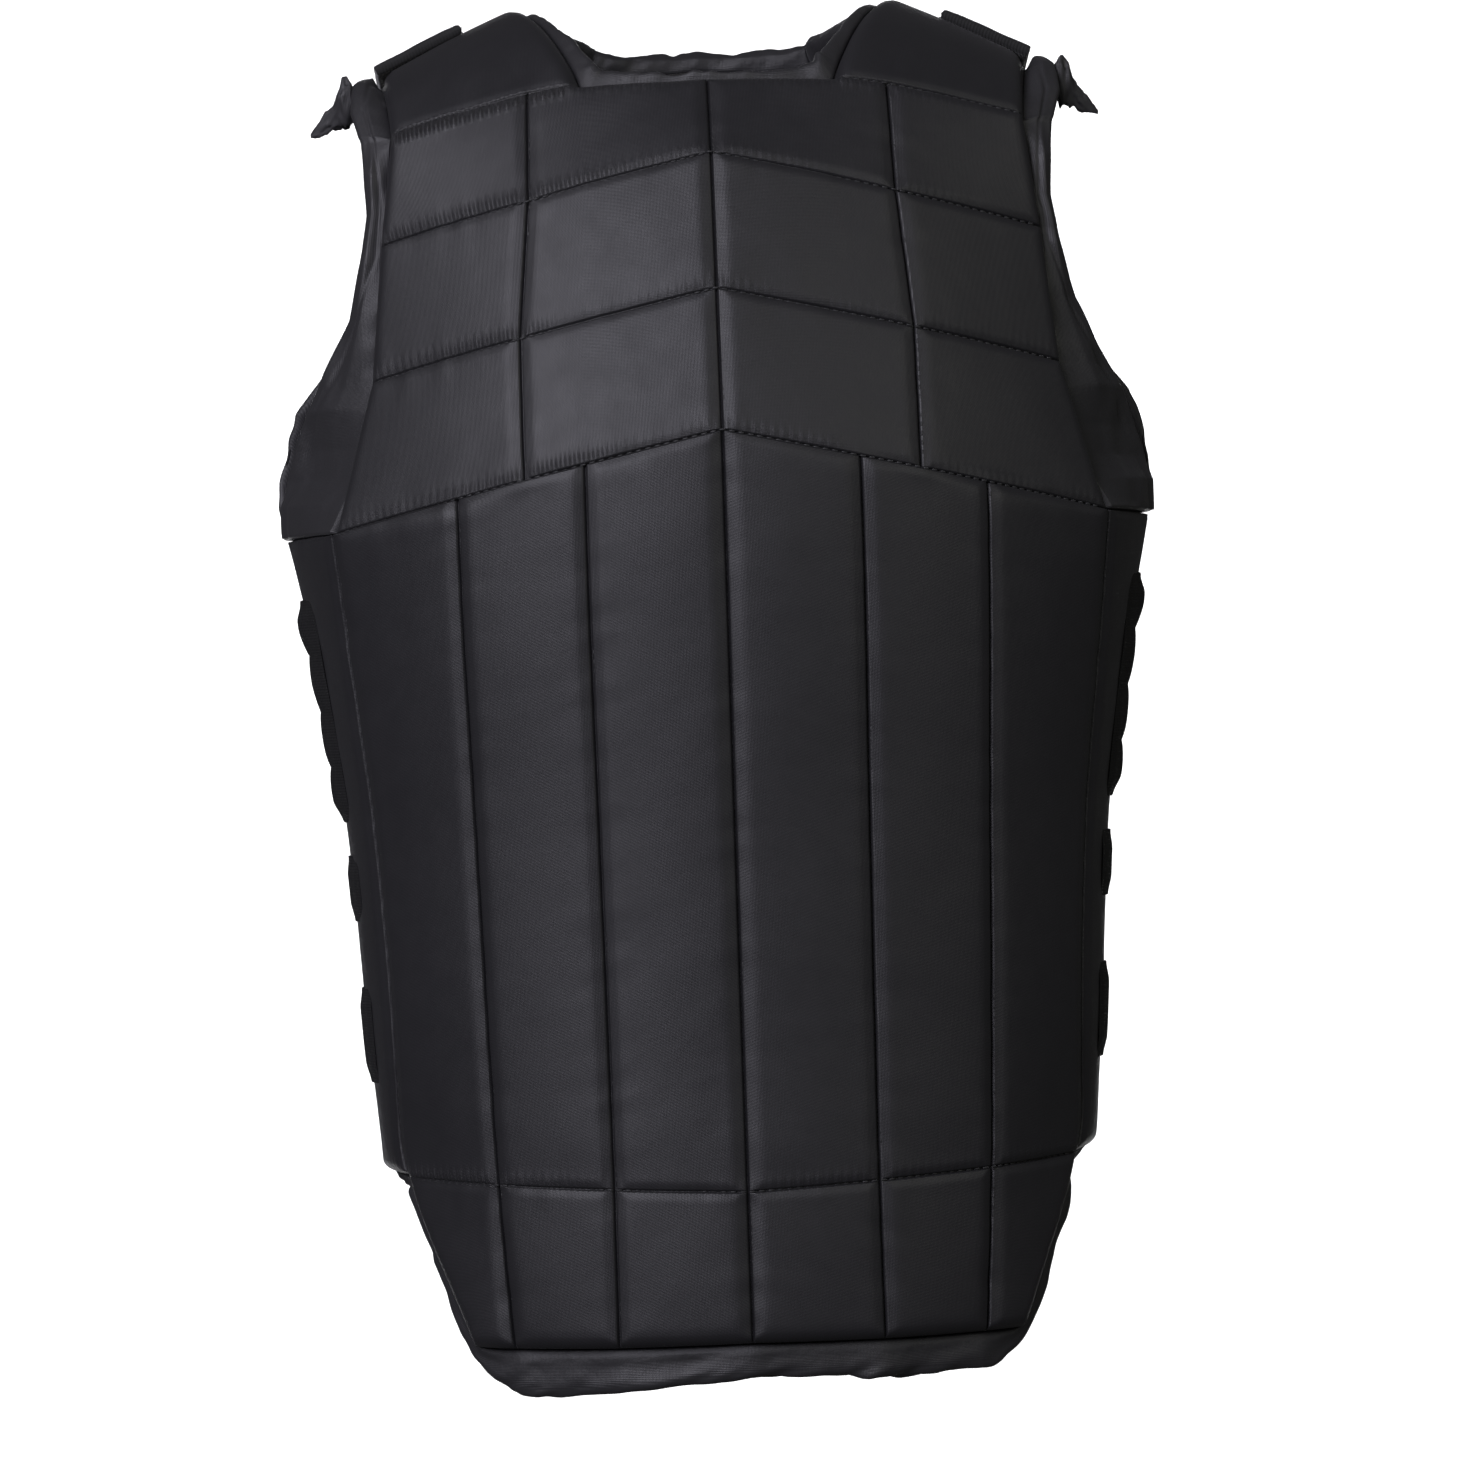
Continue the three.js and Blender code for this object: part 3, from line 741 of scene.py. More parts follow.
@dataclass
class CoverGrid:
    """The places of a cover's points, with distances in metres.

    level and line are places in the tables, share is the place between two seams, along and down run with the
    cloth, upright, sewn and rim are distances from the upright seams, the level seams and the rim, and left
    runs from 1 on the left half to 0 on the right.
    """

    level: np.ndarray
    line: np.ndarray
    share: np.ndarray
    along: np.ndarray
    down: np.ndarray
    upright: np.ndarray
    sewn: np.ndarray
    rim: np.ndarray
    left: np.ndarray


@dataclass
class Cover:
    """One padded part of a panel: the chest part above the chest seam or the body part below it.

    A point of its outer face is the plank's point, moved along the form's normal by the plank's crown
    4 s (1 - s), by the swelling of the simulated cloth and by puckers. It is drawn in by the seams and at the
    rim. The seams of the left half are gathered more. level_gap, in levels, keeps the two parts apart.
    Puckers fade within flat_rim of the rim, and slow rolls within flat_seam of a seam.
    """

    name: str
    form: PanelForm
    top: Level
    bottom: Level
    seams: tuple[Line, ...]
    level_seams: tuple[Level, ...]
    reach: Line
    step: float
    seed: int
    pucker: float = 0.3 * MM
    pull_reach: float = 9 * MM
    tuck_reach: float = 7 * MM
    rim_width: float = 7 * MM
    flat_rim: float = 4 * MM
    flat_seam: float = 10 * MM
    # Widths of the painted shade beside the upright and the level seams.
    painted_shade_upright: float = 3 * MM
    painted_shade_level: float = 2.2 * MM
    channel_width: float = 4 * MM
    level_gap: float = 0.0000686
    swell: float = 1.1 * MM
    swell_cap: float = 1.1
    coarse_near: float = 2.5 * MM
    coarse_step: float = 6 * MM
    frames: int = 20

    def stops(self, near: tuple, step: float) -> tuple[np.ndarray, np.ndarray]:
        """Spaces the grid.

        Args:
            near: Distances from a seam that get a line of their own.
            step: Spacing on the planks.

        Returns:
            Levels down the part, and lines across it.
        """
        middle = (self.top + self.bottom) / 2
        marks = [float(line) for line in range(self.reach + 1)]
        places = self.form.form(np.full(len(marks), middle), np.array(marks))
        widths = np.linalg.norm(np.diff(places, axis=0), axis=-1).tolist()
        half = stops_between(marks, widths, [float(s) for s in self.seams] + [float(self.reach)], near, step)
        lines = np.concatenate([-half[:0:-1], half])
        down = [float(level) for level in range(self.top, self.bottom + 1)]
        places = self.form.form(np.array(down), np.full(len(down), 2.5))
        drops = np.linalg.norm(np.diff(places, axis=0), axis=-1).tolist()
        sewn = [float(level) for level in self.level_seams] + [float(self.top), float(self.bottom)]
        return stops_between(down, drops, sewn, near, step * 1.15), lines

    def cells(self, levels: np.ndarray, lines: np.ndarray) -> np.ndarray:
        """Tells which cells of the grid have cloth: not the neck's opening, nor beside the narrow hem.

        Args:
            levels: Levels of the grid.
            lines: Lines of the grid.

        Returns:
            True for each cell that is part of the cover.
        """
        level = ((levels[:-1] + levels[1:]) / 2)[:, None]
        distance = np.abs((lines[:-1] + lines[1:]) / 2)[None, :]
        outer = np.where((level >= Level.CHEST) & (level < Level.SKIRT), Line.SIDE, Line.ARMHOLE)
        inner = np.where(level < Level.YOKE, Line.INNER, Line.CENTRE)
        return (distance > inner) & (distance < outer)

    def edge_distance(
        self, level: np.ndarray, line: np.ndarray, along: np.ndarray, down: np.ndarray
    ) -> np.ndarray:
        """Measures how far each point lies from the part's sewn rim.

        Args:
            level: Levels of the grid points.
            line: Lines of the grid points.
            along: Distance along each row from the centre.
            down: Distance down each column.

        Returns:
            Distances in metres. The chest seam isn't a rim, for the two parts are sewn together there.
        """
        distance = np.full(level.shape, FAR)
        columns, rows = line[0], level[:, 0]

        def column(place: float) -> np.ndarray:
            """Returns each point's distance along its row from the column at a line."""
            return np.abs(along - along[:, [int(np.argmin(np.abs(columns - place)))]])

        def row(place: float) -> np.ndarray:
            """Returns each point's distance down its column from the row at a level."""
            return np.abs(down - down[[int(np.argmin(np.abs(rows - place)))], :])

        for side in Side:
            beside_neck = np.where(level <= Level.YOKE, column(side * Line.INNER), FAR)
            armhole = column(side * Line.ARMHOLE)
            if self.top < Level.CHEST:
                distance = np.minimum(distance, np.minimum(beside_neck, armhole))
            else:
                side_edge = np.where(level <= Level.SKIRT, column(side * Line.SIDE), FAR)
                corner = np.where(level >= Level.SKIRT, armhole, np.hypot(armhole, row(Level.SKIRT)))
                beyond = np.where(np.abs(line) >= Line.ARMHOLE, row(Level.SKIRT), corner)
                distance = np.minimum(distance, np.minimum(side_edge, beyond))
        if self.top < Level.CHEST:
            under_neck = np.where(np.abs(line) <= Line.INNER, row(Level.YOKE), FAR)
            distance = np.minimum(distance, np.minimum(under_neck, row(Level.CREST)))
            return distance
        return np.minimum(distance, row(Level.HEM))

    def swelling(self, levels: np.ndarray, lines: np.ndarray) -> np.ndarray:
        """Blows the cover up by a cloth simulation on a coarse grid whose seams and rim are held.

        Args:
            levels: Levels of the fine grid.
            lines: Lines of the fine grid.

        Returns:
            How far each point of the fine grid swells, in metres.
        """
        coarse_levels, coarse_lines = self.stops((self.coarse_near,), self.coarse_step)
        level, line = np.meshgrid(coarse_levels, coarse_lines, indexing="ij")
        points = self.form.plate(level, line)[0]
        normal = self.form.normal(level, line)
        cells = self.cells(coarse_levels, coarse_lines)
        rows, columns = level.shape
        index = np.arange(rows * columns).reshape(rows, columns)
        quads = np.stack([index[:-1, :-1], index[:-1, 1:], index[1:, 1:], index[1:, :-1]], -1)[cells]
        if self.form.face == Face.FRONT:
            quads = quads[:, ::-1]
        count = sum(np.pad(cells, ((1 - i, i), (1 - j, j))).astype(int) for i in (0, 1) for j in (0, 1))
        sewn = np.isin(np.abs(line), [float(s) for s in self.seams]) & (np.abs(line) <= self.reach)
        sewn |= np.isin(level, [float(s) for s in self.level_seams])
        held = sewn | (count < 4)
        moved = blown_up(points, quads, index[held], self.frames)
        height = np.einsum("ijk,ijk->ij", moved - points, normal)
        height = np.clip(np.nan_to_num(height), 0, None)
        peak = max(float(np.percentile(height, 98)), 1e-6)
        height = np.clip(height / peak, 0, self.swell_cap) * self.swell
        if self.top == Level.CHEST:
            height = smooth_path(height, 2)
        log.info("%s swelled by the cloth, highest %.1f mm before the cap", self.name, peak / MM)
        across = np.stack([np.interp(lines, coarse_lines, row) for row in height])
        return np.stack([np.interp(levels, coarse_levels, column) for column in across.T], axis=1)

    def seam_distances(
        self, levels: np.ndarray, lines: np.ndarray, along: np.ndarray, down: np.ndarray
    ) -> tuple[np.ndarray, np.ndarray]:
        """Measures how far each point lies from the nearest seams.

        Args:
            levels: Levels of the grid.
            lines: Lines of the grid.
            along: Distance along each row from the centre.
            down: Distance down each column.

        Returns:
            Distances in metres from the upright seams and from the level seams.
        """
        upright, sewn = np.full(along.shape, FAR), np.full(along.shape, FAR)
        for place in {side * int(seam) for seam in self.seams for side in Side}:
            column = int(np.argmin(np.abs(lines - place)))
            upright = np.minimum(upright, np.abs(along - along[:, [column]]))
        if self.top < Level.CHEST:
            upright = np.where(levels[:, None] < Level.YOKE, FAR, upright)
        for seam in self.level_seams:
            row = int(np.argmin(np.abs(levels - seam)))
            sewn = np.minimum(sewn, np.abs(down - down[[row], :]))
        return upright, sewn

    def relief(self, grid: CoverGrid, swell: np.ndarray, turned: np.ndarray) -> np.ndarray:
        """Works out how far the outer face stands off the planks.

        Crown and swelling lift it, and the seams or the turned rim draw it in. Pulls run out from the upright
        seams and tucks from the level ones. Slow noise on turned axes rolls it between the upright seams.

        Args:
            grid: The places of the points.
            swell: How far the simulated cloth lifts each point.
            turned: How far the rim is turned in at each point.

        Returns:
            Heights in metres.
        """
        crown = self.form.sizes.crown * 4 * np.clip(grid.share * (1 - grid.share), 0, None)
        level_depth = LEVEL_SEAM.depth(grid.sewn) * mix(1.5, 0.75, grid.left)
        depth = np.maximum(UPRIGHT_SEAM.depth(grid.upright), level_depth)
        pulls = SEAM_PULLS.at(grid.down, grid.along, self.seed) * np.exp(-grid.upright / self.pull_reach)
        tucks = SEAM_TUCKS.at(grid.along, grid.down, self.seed + 1) * np.exp(-grid.sewn / self.tuck_reach)
        tucks = tucks * (0.5 + 0.9 * grid.left)
        off_rim = np.clip(grid.rim / self.flat_rim, 0, 1)
        slanted, upward = grid.along + 0.7 * grid.down, grid.down - 0.7 * grid.along
        rolling = PLANK_ROLLS.at(slanted, upward, self.seed + 2)
        rolling += PLANK_WAVES.at(slanted, upward, self.seed + 3)
        off_seam = np.clip(grid.upright / self.flat_seam, 0, 1)
        lifted = crown + swell - np.maximum(depth, turned)
        return lifted + self.pucker * (pulls + tucks) * off_rim + rolling * off_seam

    def tucking(self, grid: CoverGrid) -> np.ndarray:
        """Tells how strongly stitches pinch the cloth, in a belt beside each level seam.

        The belt lies above its seam, or below the yoke seam. It comes and goes in patches of value noise and
        is strongest on the left half.

        Args:
            grid: The places of the points.

        Returns:
            Strengths, 0 where no tuck is.
        """
        levels, belt = grid.level[:, 0], TUCK_BELT
        beside = np.full(grid.level.shape, FAR)
        for seam in self.level_seams:
            row = int(np.argmin(np.abs(levels - seam)))
            gap = (grid.down[[row], :] - grid.down) * (-1 if seam == Level.YOKE else 1)
            beside = np.where((gap > -belt.overlap) & (gap < beside), gap, beside)
        patches = 0.6 + 0.6 * smooth_noise(grid.along / belt.patch, grid.level * 2, self.seed + 4)
        patches = np.clip(patches, 0, 1)
        if self.top < Level.CHEST:
            yoke_row = int(np.argmin(np.abs(levels - Level.YOKE)))
            under_yoke = bell(grid.down - grid.down[[yoke_row], :], belt.yoke_middle, belt.yoke_width)
            beyond_neck = np.abs(grid.line) > belt.yoke_start
            patches = np.maximum(patches, belt.yoke_strength * under_yoke * grid.left * beyond_neck)
        strength = mix(belt.right_strength, 1.0, grid.left)
        return bell(beside, belt.middle, belt.width) * strength * patches

    def build(self, materials: list[bpy.types.Material]) -> bpy.types.Object:
        """Makes the cover.

        Args:
            materials: The cover's finish and the lining's.

        Returns:
            The finished piece.
        """
        sizes = self.form.sizes
        levels, lines = self.stops(NEAR_SEAM, self.step)
        level, line = np.meshgrid(levels, lines, indexing="ij")
        first = self.top + self.level_gap * (self.top == Level.CHEST)
        last = self.bottom - self.level_gap * (self.bottom == Level.CHEST)
        points, share = self.form.plate(np.clip(level, first, last), line)
        normal = self.form.normal(np.clip(level, first, last), line)
        along = arc_length(points, 1)
        along = along - along[:, [len(lines) // 2]]
        down = arc_length(points, 0)
        upright, sewn = self.seam_distances(levels, lines, along, down)
        rim = self.edge_distance(level, line, along, down)
        left = smooth_step(0.5 - line / 8)
        grid = CoverGrid(level, line, share, along, down, upright, sewn, rim, left)
        swell = self.swelling(levels, lines)
        turned = sizes.rim_inset * edge_round(rim, self.rim_width)
        outer = points + normal * self.relief(grid, swell, turned)[..., None]
        nearest = np.minimum(upright, sewn)
        channel = np.clip(1 - nearest / self.channel_width, 0, 1)
        inner_depth = np.maximum(sizes.lining_channel * channel, turned) - sizes.foam
        inner = points + normal * inner_depth[..., None]
        # Painted shade: the seam mark darkens the cover within these widths of each seam.
        near = np.clip(1 - np.minimum(upright / self.painted_shade_upright, sewn / self.painted_shade_level), 0, 1)
        uv = np.stack([along, down], -1)
        surface = shell(outer, inner, uv, near, self.cells(levels, lines), self.tucking(grid))
        piece = surface.build(self.name, materials)
        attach(piece, "root")
        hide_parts(f"{self.form.face.name.lower()}_panel")
        return piece


@dataclass(frozen=True)
class GussetRow:
    """One place down an armhole gusset.

    reach is how far the free edge lies from the armhole seam (0) to the side edge (1), fold is how far the
    cloth is drawn in or out by gathers as a share of its thickness, and flare is its share of the panel's
    flare.
    """

    level: float
    reach: float
    fold: float
    flare: float


GUSSET_ROWS = (
    GussetRow(0.1, 0.17, 0.0, 0.0),
    GussetRow(0.42, 0.27, 0.5, 0.0),
    GussetRow(0.75, 0.31, 0.1, 0.0),
    GussetRow(1.05, 0.25, -0.3, 0.0),
    GussetRow(1.35, 0.2, 0.3, 0.0),
    GussetRow(1.7, 0.19, -0.1, 0.0),
    GussetRow(2.1, 0.22, 0.3, 0.0),
    GussetRow(2.5, 0.36, -0.3, 0.3),
    GussetRow(2.85, 0.5, 0.1, 0.75),
    GussetRow(3.15, 0.66, 0.5, 1.0),
    GussetRow(3.4, 0.82, -0.4, 1.0),
    GussetRow(3.6, 0.92, -0.5, 0.85),
    GussetRow(3.78, 0.95, 0.5, 0.4),
    GussetRow(3.985, 0.96, 0.2, 0.0),
)


GATHER_DRIFT = Ripple(18 * MM, 40 * MM, 0.5)


@dataclass
class Gusset:
    """Soft cloth from an armhole seam to its free edge, gathered into folds that run out from the seam.

    A point is the plank's point, moved along the normal by the gathers: value noise drawn long across the
    gusset, growing from the seam to the free edge, where the cloth is rolled into a round edge and bound with
    a line of stitches. From foot_level down it rises to stand proud of the side plank, and grows thin.
    """

    form: PanelForm
    side: Side
    seed: int
    ribs: float
    thickness: float = 5 * MM
    proud: float = 2 * MM
    gathers: float = 1.3 * MM
    gather_length: float = 9 * MM
    gather_width: float = 20 * MM
    pinch_reach: float = 6 * MM
    fold_length: float = 45 * MM
    fold_slant: float = 30 * MM
    fold_width: float = 9 * MM
    crease_width: float = 2.5 * MM
    end_levels: float = 0.05
    seam_slit: float = 0.05 * MM
    edge_radius: float = 2.6 * MM
    bound_from_edge: float = 8 * MM
    bound_width: float = 0.9 * MM
    bound_depth: float = 0.8 * MM
    foot_level: float = 3.7
    foot_length: float = 0.28

    @property
    def name(self) -> str:
        """The piece's name, which is its solid's with an ending of its own."""
        return f"{self.form.face.name.lower()}_gusset_{self.side.name.lower()}"

    def build(self, materials: list[bpy.types.Material]) -> bpy.types.Object:
        """Makes the gusset.

        Args:
            materials: The trim's finish.

        Returns:
            The finished piece.
        """
        sizes = self.form.sizes
        table = np.array([astuple(row) for row in GUSSET_ROWS])
        levels = np.linspace(table[0, 0], table[-1, 0], 230)
        shares = np.concatenate([np.linspace(0, 0.9, 22), 1 - 0.1 * (1 - np.linspace(0, 1, 9)[1:]) ** 2])
        level, share = np.meshgrid(levels, shares, indexing="ij")
        reach, fold, flare = (np.interp(levels, table[:, 0], table[:, i])[:, None] for i in (1, 2, 3))
        seam = self.form.form(levels, np.full_like(levels, self.side * Line.ARMHOLE))
        beside = self.form.form(levels, np.full_like(levels, float(self.side * (Line.ARMHOLE + 1))))
        start = (self.seam_slit / np.linalg.norm(beside - seam, axis=-1))[:, None]
        line = self.side * (Line.ARMHOLE + mix(start, reach, share))
        points, normal = self.form.plate(level, line)[0], self.form.normal(level, line)
        near_foot = np.clip((level - self.foot_level) / self.foot_length, 0, None)
        along = arc_length(points, 0)
        across = arc_length(points, 1)
        drawn = fold * self.thickness * np.sin(np.pi * np.minimum(1, share * 0.75))
        sunk = mix(sizes.rim_inset, 0.0, np.minimum(1, share * 2)) * (1 - near_foot)
        sunk = sunk - self.proud * near_foot * share
        phase = along / self.gather_length + GATHER_DRIFT.at(across, along, self.seed + 5)
        slanted = along / self.fold_length + across / self.fold_slant
        folds = smooth_noise(slanted, across / self.fold_width, self.seed)
        gathered = folds * self.gathers * np.minimum(1, 0.4 + share)
        pinched = np.exp(-across / self.pinch_reach) + self.ribs * smooth_step(share * 1.6 - 0.6)
        ribbed = smooth_noise(phase, across / self.gather_width, self.seed + 1)
        gathered += ribbed * self.gathers * 0.7 * pinched
        length = across[:, [-1]]
        rounded = edge_round(length - across, self.edge_radius) * self.thickness / 2
        from_ends = np.minimum(levels - levels[0], levels[-1] - levels)[:, None]
        gathered *= np.clip(from_ends / self.end_levels, 0, 1)
        bound = bell(length - across, self.bound_from_edge, self.bound_width) * self.bound_depth
        lift = drawn - sunk + gathered - bound
        outer = points + normal * (lift - rounded)[..., None]
        depth = mix(self.thickness, sizes.rim_inset + sizes.rim, np.clip(near_foot, 0, 1))
        inner = points + normal * (drawn - sunk + gathered * 0.7 - depth + rounded)[..., None]
        shift = self.side * self.form.flare * flare * share**2
        outer[..., 0] += shift
        inner[..., 0] += shift
        # Painted shade in the crease along the armhole seam.
        crease = np.clip(1 - across / self.crease_width, 0, 1)
        surface = shell(outer, inner, np.stack([across, along], -1), crease)
        piece = surface.build(self.name + "_cloth", materials)
        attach(piece, "root")
        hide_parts(self.name)
        return piece


@dataclass(frozen=True)
class BandStop:
    """A place that an edge band passes, its height there and how far its free edge curls out, in metres."""

    level: float
    line: float
    height: float
    curl: float = 0.0


def smooth_path(values: np.ndarray, width: int) -> np.ndarray:
    """Rounds a path's corners by a running mean, which leaves both ends where they are.

    Args:
        values: Points or numbers along the path.
        width: How many neighbours on each side are taken in.

    Returns:
        The smoothed values.
    """
    before = 2 * values[:1] - values[width:0:-1]
    after = 2 * values[-1:] - values[-2 : -width - 2 : -1]
    padded = np.concatenate([before, values, after])
    total = np.cumsum(np.concatenate([np.zeros_like(padded[:1]), padded]), axis=0)
    return (total[2 * width + 1 :] - total[: -2 * width - 1]) / (2 * width + 1)


@dataclass(frozen=True)
class BandCrease:
    """One layer of a band's folds.

    length is a share of the band's fold length, width is in metres and height is a share of the folds'
    height. apart is how many lattice squares the folds of the two faces lie apart.
    """

    length: float
    width: float
    height: float
    apart: float


BAND_CREASES = (BandCrease(1.0, 9 * MM, 1.0, 7.3), BandCrease(0.42, 5 * MM, 0.45, 3.1))


@dataclass
class EdgeBand:
    """A soft band along an edge of a panel: the neck binding or the hem band.

    Its section is a rounded slab, thickness through and height away from the edge. Folds of value noise cross
    it at a slant. bunch makes the folds deeper in the middle, groove presses in the line of its hem stitches
    at groove_place, a share of the height, and fan is how many stops on each side share the turn of its
    direction round a corner.
    """

    name: str
    form: PanelForm
    stops: tuple[BandStop, ...]
    thickness: float
    folds: float
    fold_length: float
    slant: float
    seed: int
    bunch: float = 0.0
    groove: float = 0.0
    clearance: float = 0.15 * MM
    spacing: float = 1.1 * MM
    fan: int = 2
    bunch_width: float = 22 * MM
    groove_place: float = 0.42
    groove_width: float = 0.09

    def build(self, materials: list[bpy.types.Material]) -> bpy.types.Object:
        """Makes the band.

        Args:
            materials: The trim's finish.

        Returns:
            The finished piece.
        """
        sizes = self.form.sizes
        table = np.array([astuple(stop) for stop in self.stops])
        fine = np.linspace(0, len(table) - 1, len(table) * 60)
        level, line, height, curl = (np.interp(fine, np.arange(len(table)), table[:, i]) for i in range(4))
        spread = self.form.plate(level, line)[0]
        run = arc_length(spread, 0)
        stops = np.linspace(0, run[-1], int(run[-1] / self.spacing))
        level, line, height, curl = (np.interp(stops, run, values) for values in (level, line, height, curl))
        normal = self.form.normal(level, line)
        seat = smooth_path(self.form.plate(level, line)[0] - normal * sizes.foam / 2, 3)
        height, normal = smooth_path(height, 6), unit(smooth_path(normal, 4))
        along = unit(np.gradient(seat, axis=0))
        away = unit(smooth_path(np.cross(along, normal) * -self.form.face, self.fan))
        around = np.linspace(0, 2 * np.pi, 28, endpoint=False)
        cosine, sine = np.cos(around)[None, :], np.sin(around)[None, :]
        through = np.sign(cosine) * np.abs(cosine) ** 0.6 * self.thickness / 2
        upward = (1 + np.sign(sine) * np.abs(sine) ** 0.7) / 2
        rise = upward * (height[:, None] - self.clearance) + self.clearance
        place = stops[:, None] + rise * self.slant
        creases = np.zeros(rise.shape)
        for number, layer in enumerate(BAND_CREASES):
            inward = rise / layer.width + (cosine > 0) * layer.apart
            fold = smooth_noise(place / (self.fold_length * layer.length), inward, self.seed + number)
            creases += layer.height * fold
        free = smooth_step(rise / height[:, None] * 1.4)
        middle = 1 + self.bunch * bell(stops, run[-1] / 2, self.bunch_width)
        free = free * middle[:, None]
        ends = np.clip(np.minimum(stops, stops[-1] - stops) / (3 * MM), 0, 1)[:, None]
        lift = creases * self.folds * free * ends
        up_share = rise / height[:, None]
        hemmed = bell(up_share, self.groove_place, self.groove_width) * self.groove
        through = through + np.sign(cosine) * (lift - hemmed) + curl[:, None] * smooth_step(up_share)
        rise = rise + 0.8 * lift * np.clip(sine, 0, 1)
        rings = seat[:, None] + normal[:, None] * through[..., None] + away[:, None] * rise[..., None]
        cloth = np.stack([np.broadcast_to(stops[:, None], rise.shape), rise + cosine * self.thickness], -1)
        # The seam mark paints shade along the band's foot, within 2 mm of the panel.
        surface = tube(rings, cloth, np.clip(1 - rise / (2 * MM), 0, 1))
        piece = surface.build(self.name + "_cloth", materials)
        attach(piece, "root")
        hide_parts(self.name)
        return piece


def neck_stops(height: float, curl: float) -> tuple[BandStop, ...]:
    """Lists the places of a neck binding: down one neck edge, across under the neck and up the other.

    Args:
        height: The binding's height in the middle. It is higher in the corners, so the neckline is round.
        curl: How far its free edge curls out under the neck.

    Returns:
        The binding's stops from right to left, so that it rises into the opening.
    """
    rise = ((0.0, 0.8, 0.0), (0.4, 1.1, 0.2), (0.65, 1.4, 0.5), (0.85, 1.9, 0.8), (0.985, 2.5, 1.0))
    down = [BandStop(level, Line.INNER, height * share, curl * bend) for level, share, bend in rise]
    along = ((0.95, 2.4), (0.8, 1.9), (0.6, 1.45), (0.3, 1.15), (0.0, 1.0))
    half = [BandStop(1.0, line, height * share, curl) for line, share in along]
    across = half + [BandStop(1.0, -stop.line, stop.height, stop.curl) for stop in reversed(half[:-1])]
    mirrored = [BandStop(stop.level, -stop.line, stop.height, stop.curl) for stop in reversed(down)]
    return tuple(down + across + mirrored)


HEM_RIPPLES = (
    (-1.0, 0.5),
    (-0.86, 1.15),
    (-0.6, 1.3),
    (-0.35, 1.2),
    (-0.15, 1.0),
    (0.1, 0.9),
    (0.4, 1.05),
    (0.7, 0.95),
    (0.88, 0.95),
    (1.0, 0.5),
)


def hem_stops(height: float, side_height: float) -> tuple[BandStop, ...]:
    """Lists the places of a hem band.

    It runs in under a side plank, down the skirt's edge, across the hem in ripples and up the other side.

    Args:
        height: The band's height under the hem.
        side_height: Its height beside the skirt.

    Returns:
        The band's stops from left to right.
    """
    places = [(8.0, 4.98, 0.2), (8.0, 4.75, 0.5), (8.0, 4.4, 0.85)]
    places += [(8.0, 4.1, 1.0), (8.12, 4.0, 1.0), (8.5, 4.0, 1.0), (8.9, 4.0, 1.0)]
    left = [BandStop(level, -line, side_height * share) for level, line, share in places]
    below = [BandStop(9.0, at * 3.94, height * ripple) for at, ripple in HEM_RIPPLES]
    return tuple(left + below + [BandStop(stop.level, -stop.line, stop.height) for stop in reversed(left)])


ELASTIC_GATHERS = Ripple(5 * MM, 14 * MM)


@dataclass(frozen=True)
class StrapRow:
    """One strap of each side.

    top and foot are its edges as shares of the body length under the crest, start is the line where it begins
    and ends, and lobes is how many lobes it is drawn into.
    """

    name: str
    top: float
    foot: float
    start: float
    lobes: int
    seed: int


STRAP_ROWS = (
    StrapRow("upper", 0.446, 0.615, 4.58, 4, 81),
    StrapRow("middle", 0.64, 0.69, 4.5, 0, 82),
    StrapRow("lower", 0.74, 0.812, 4.5, 0, 83),
)


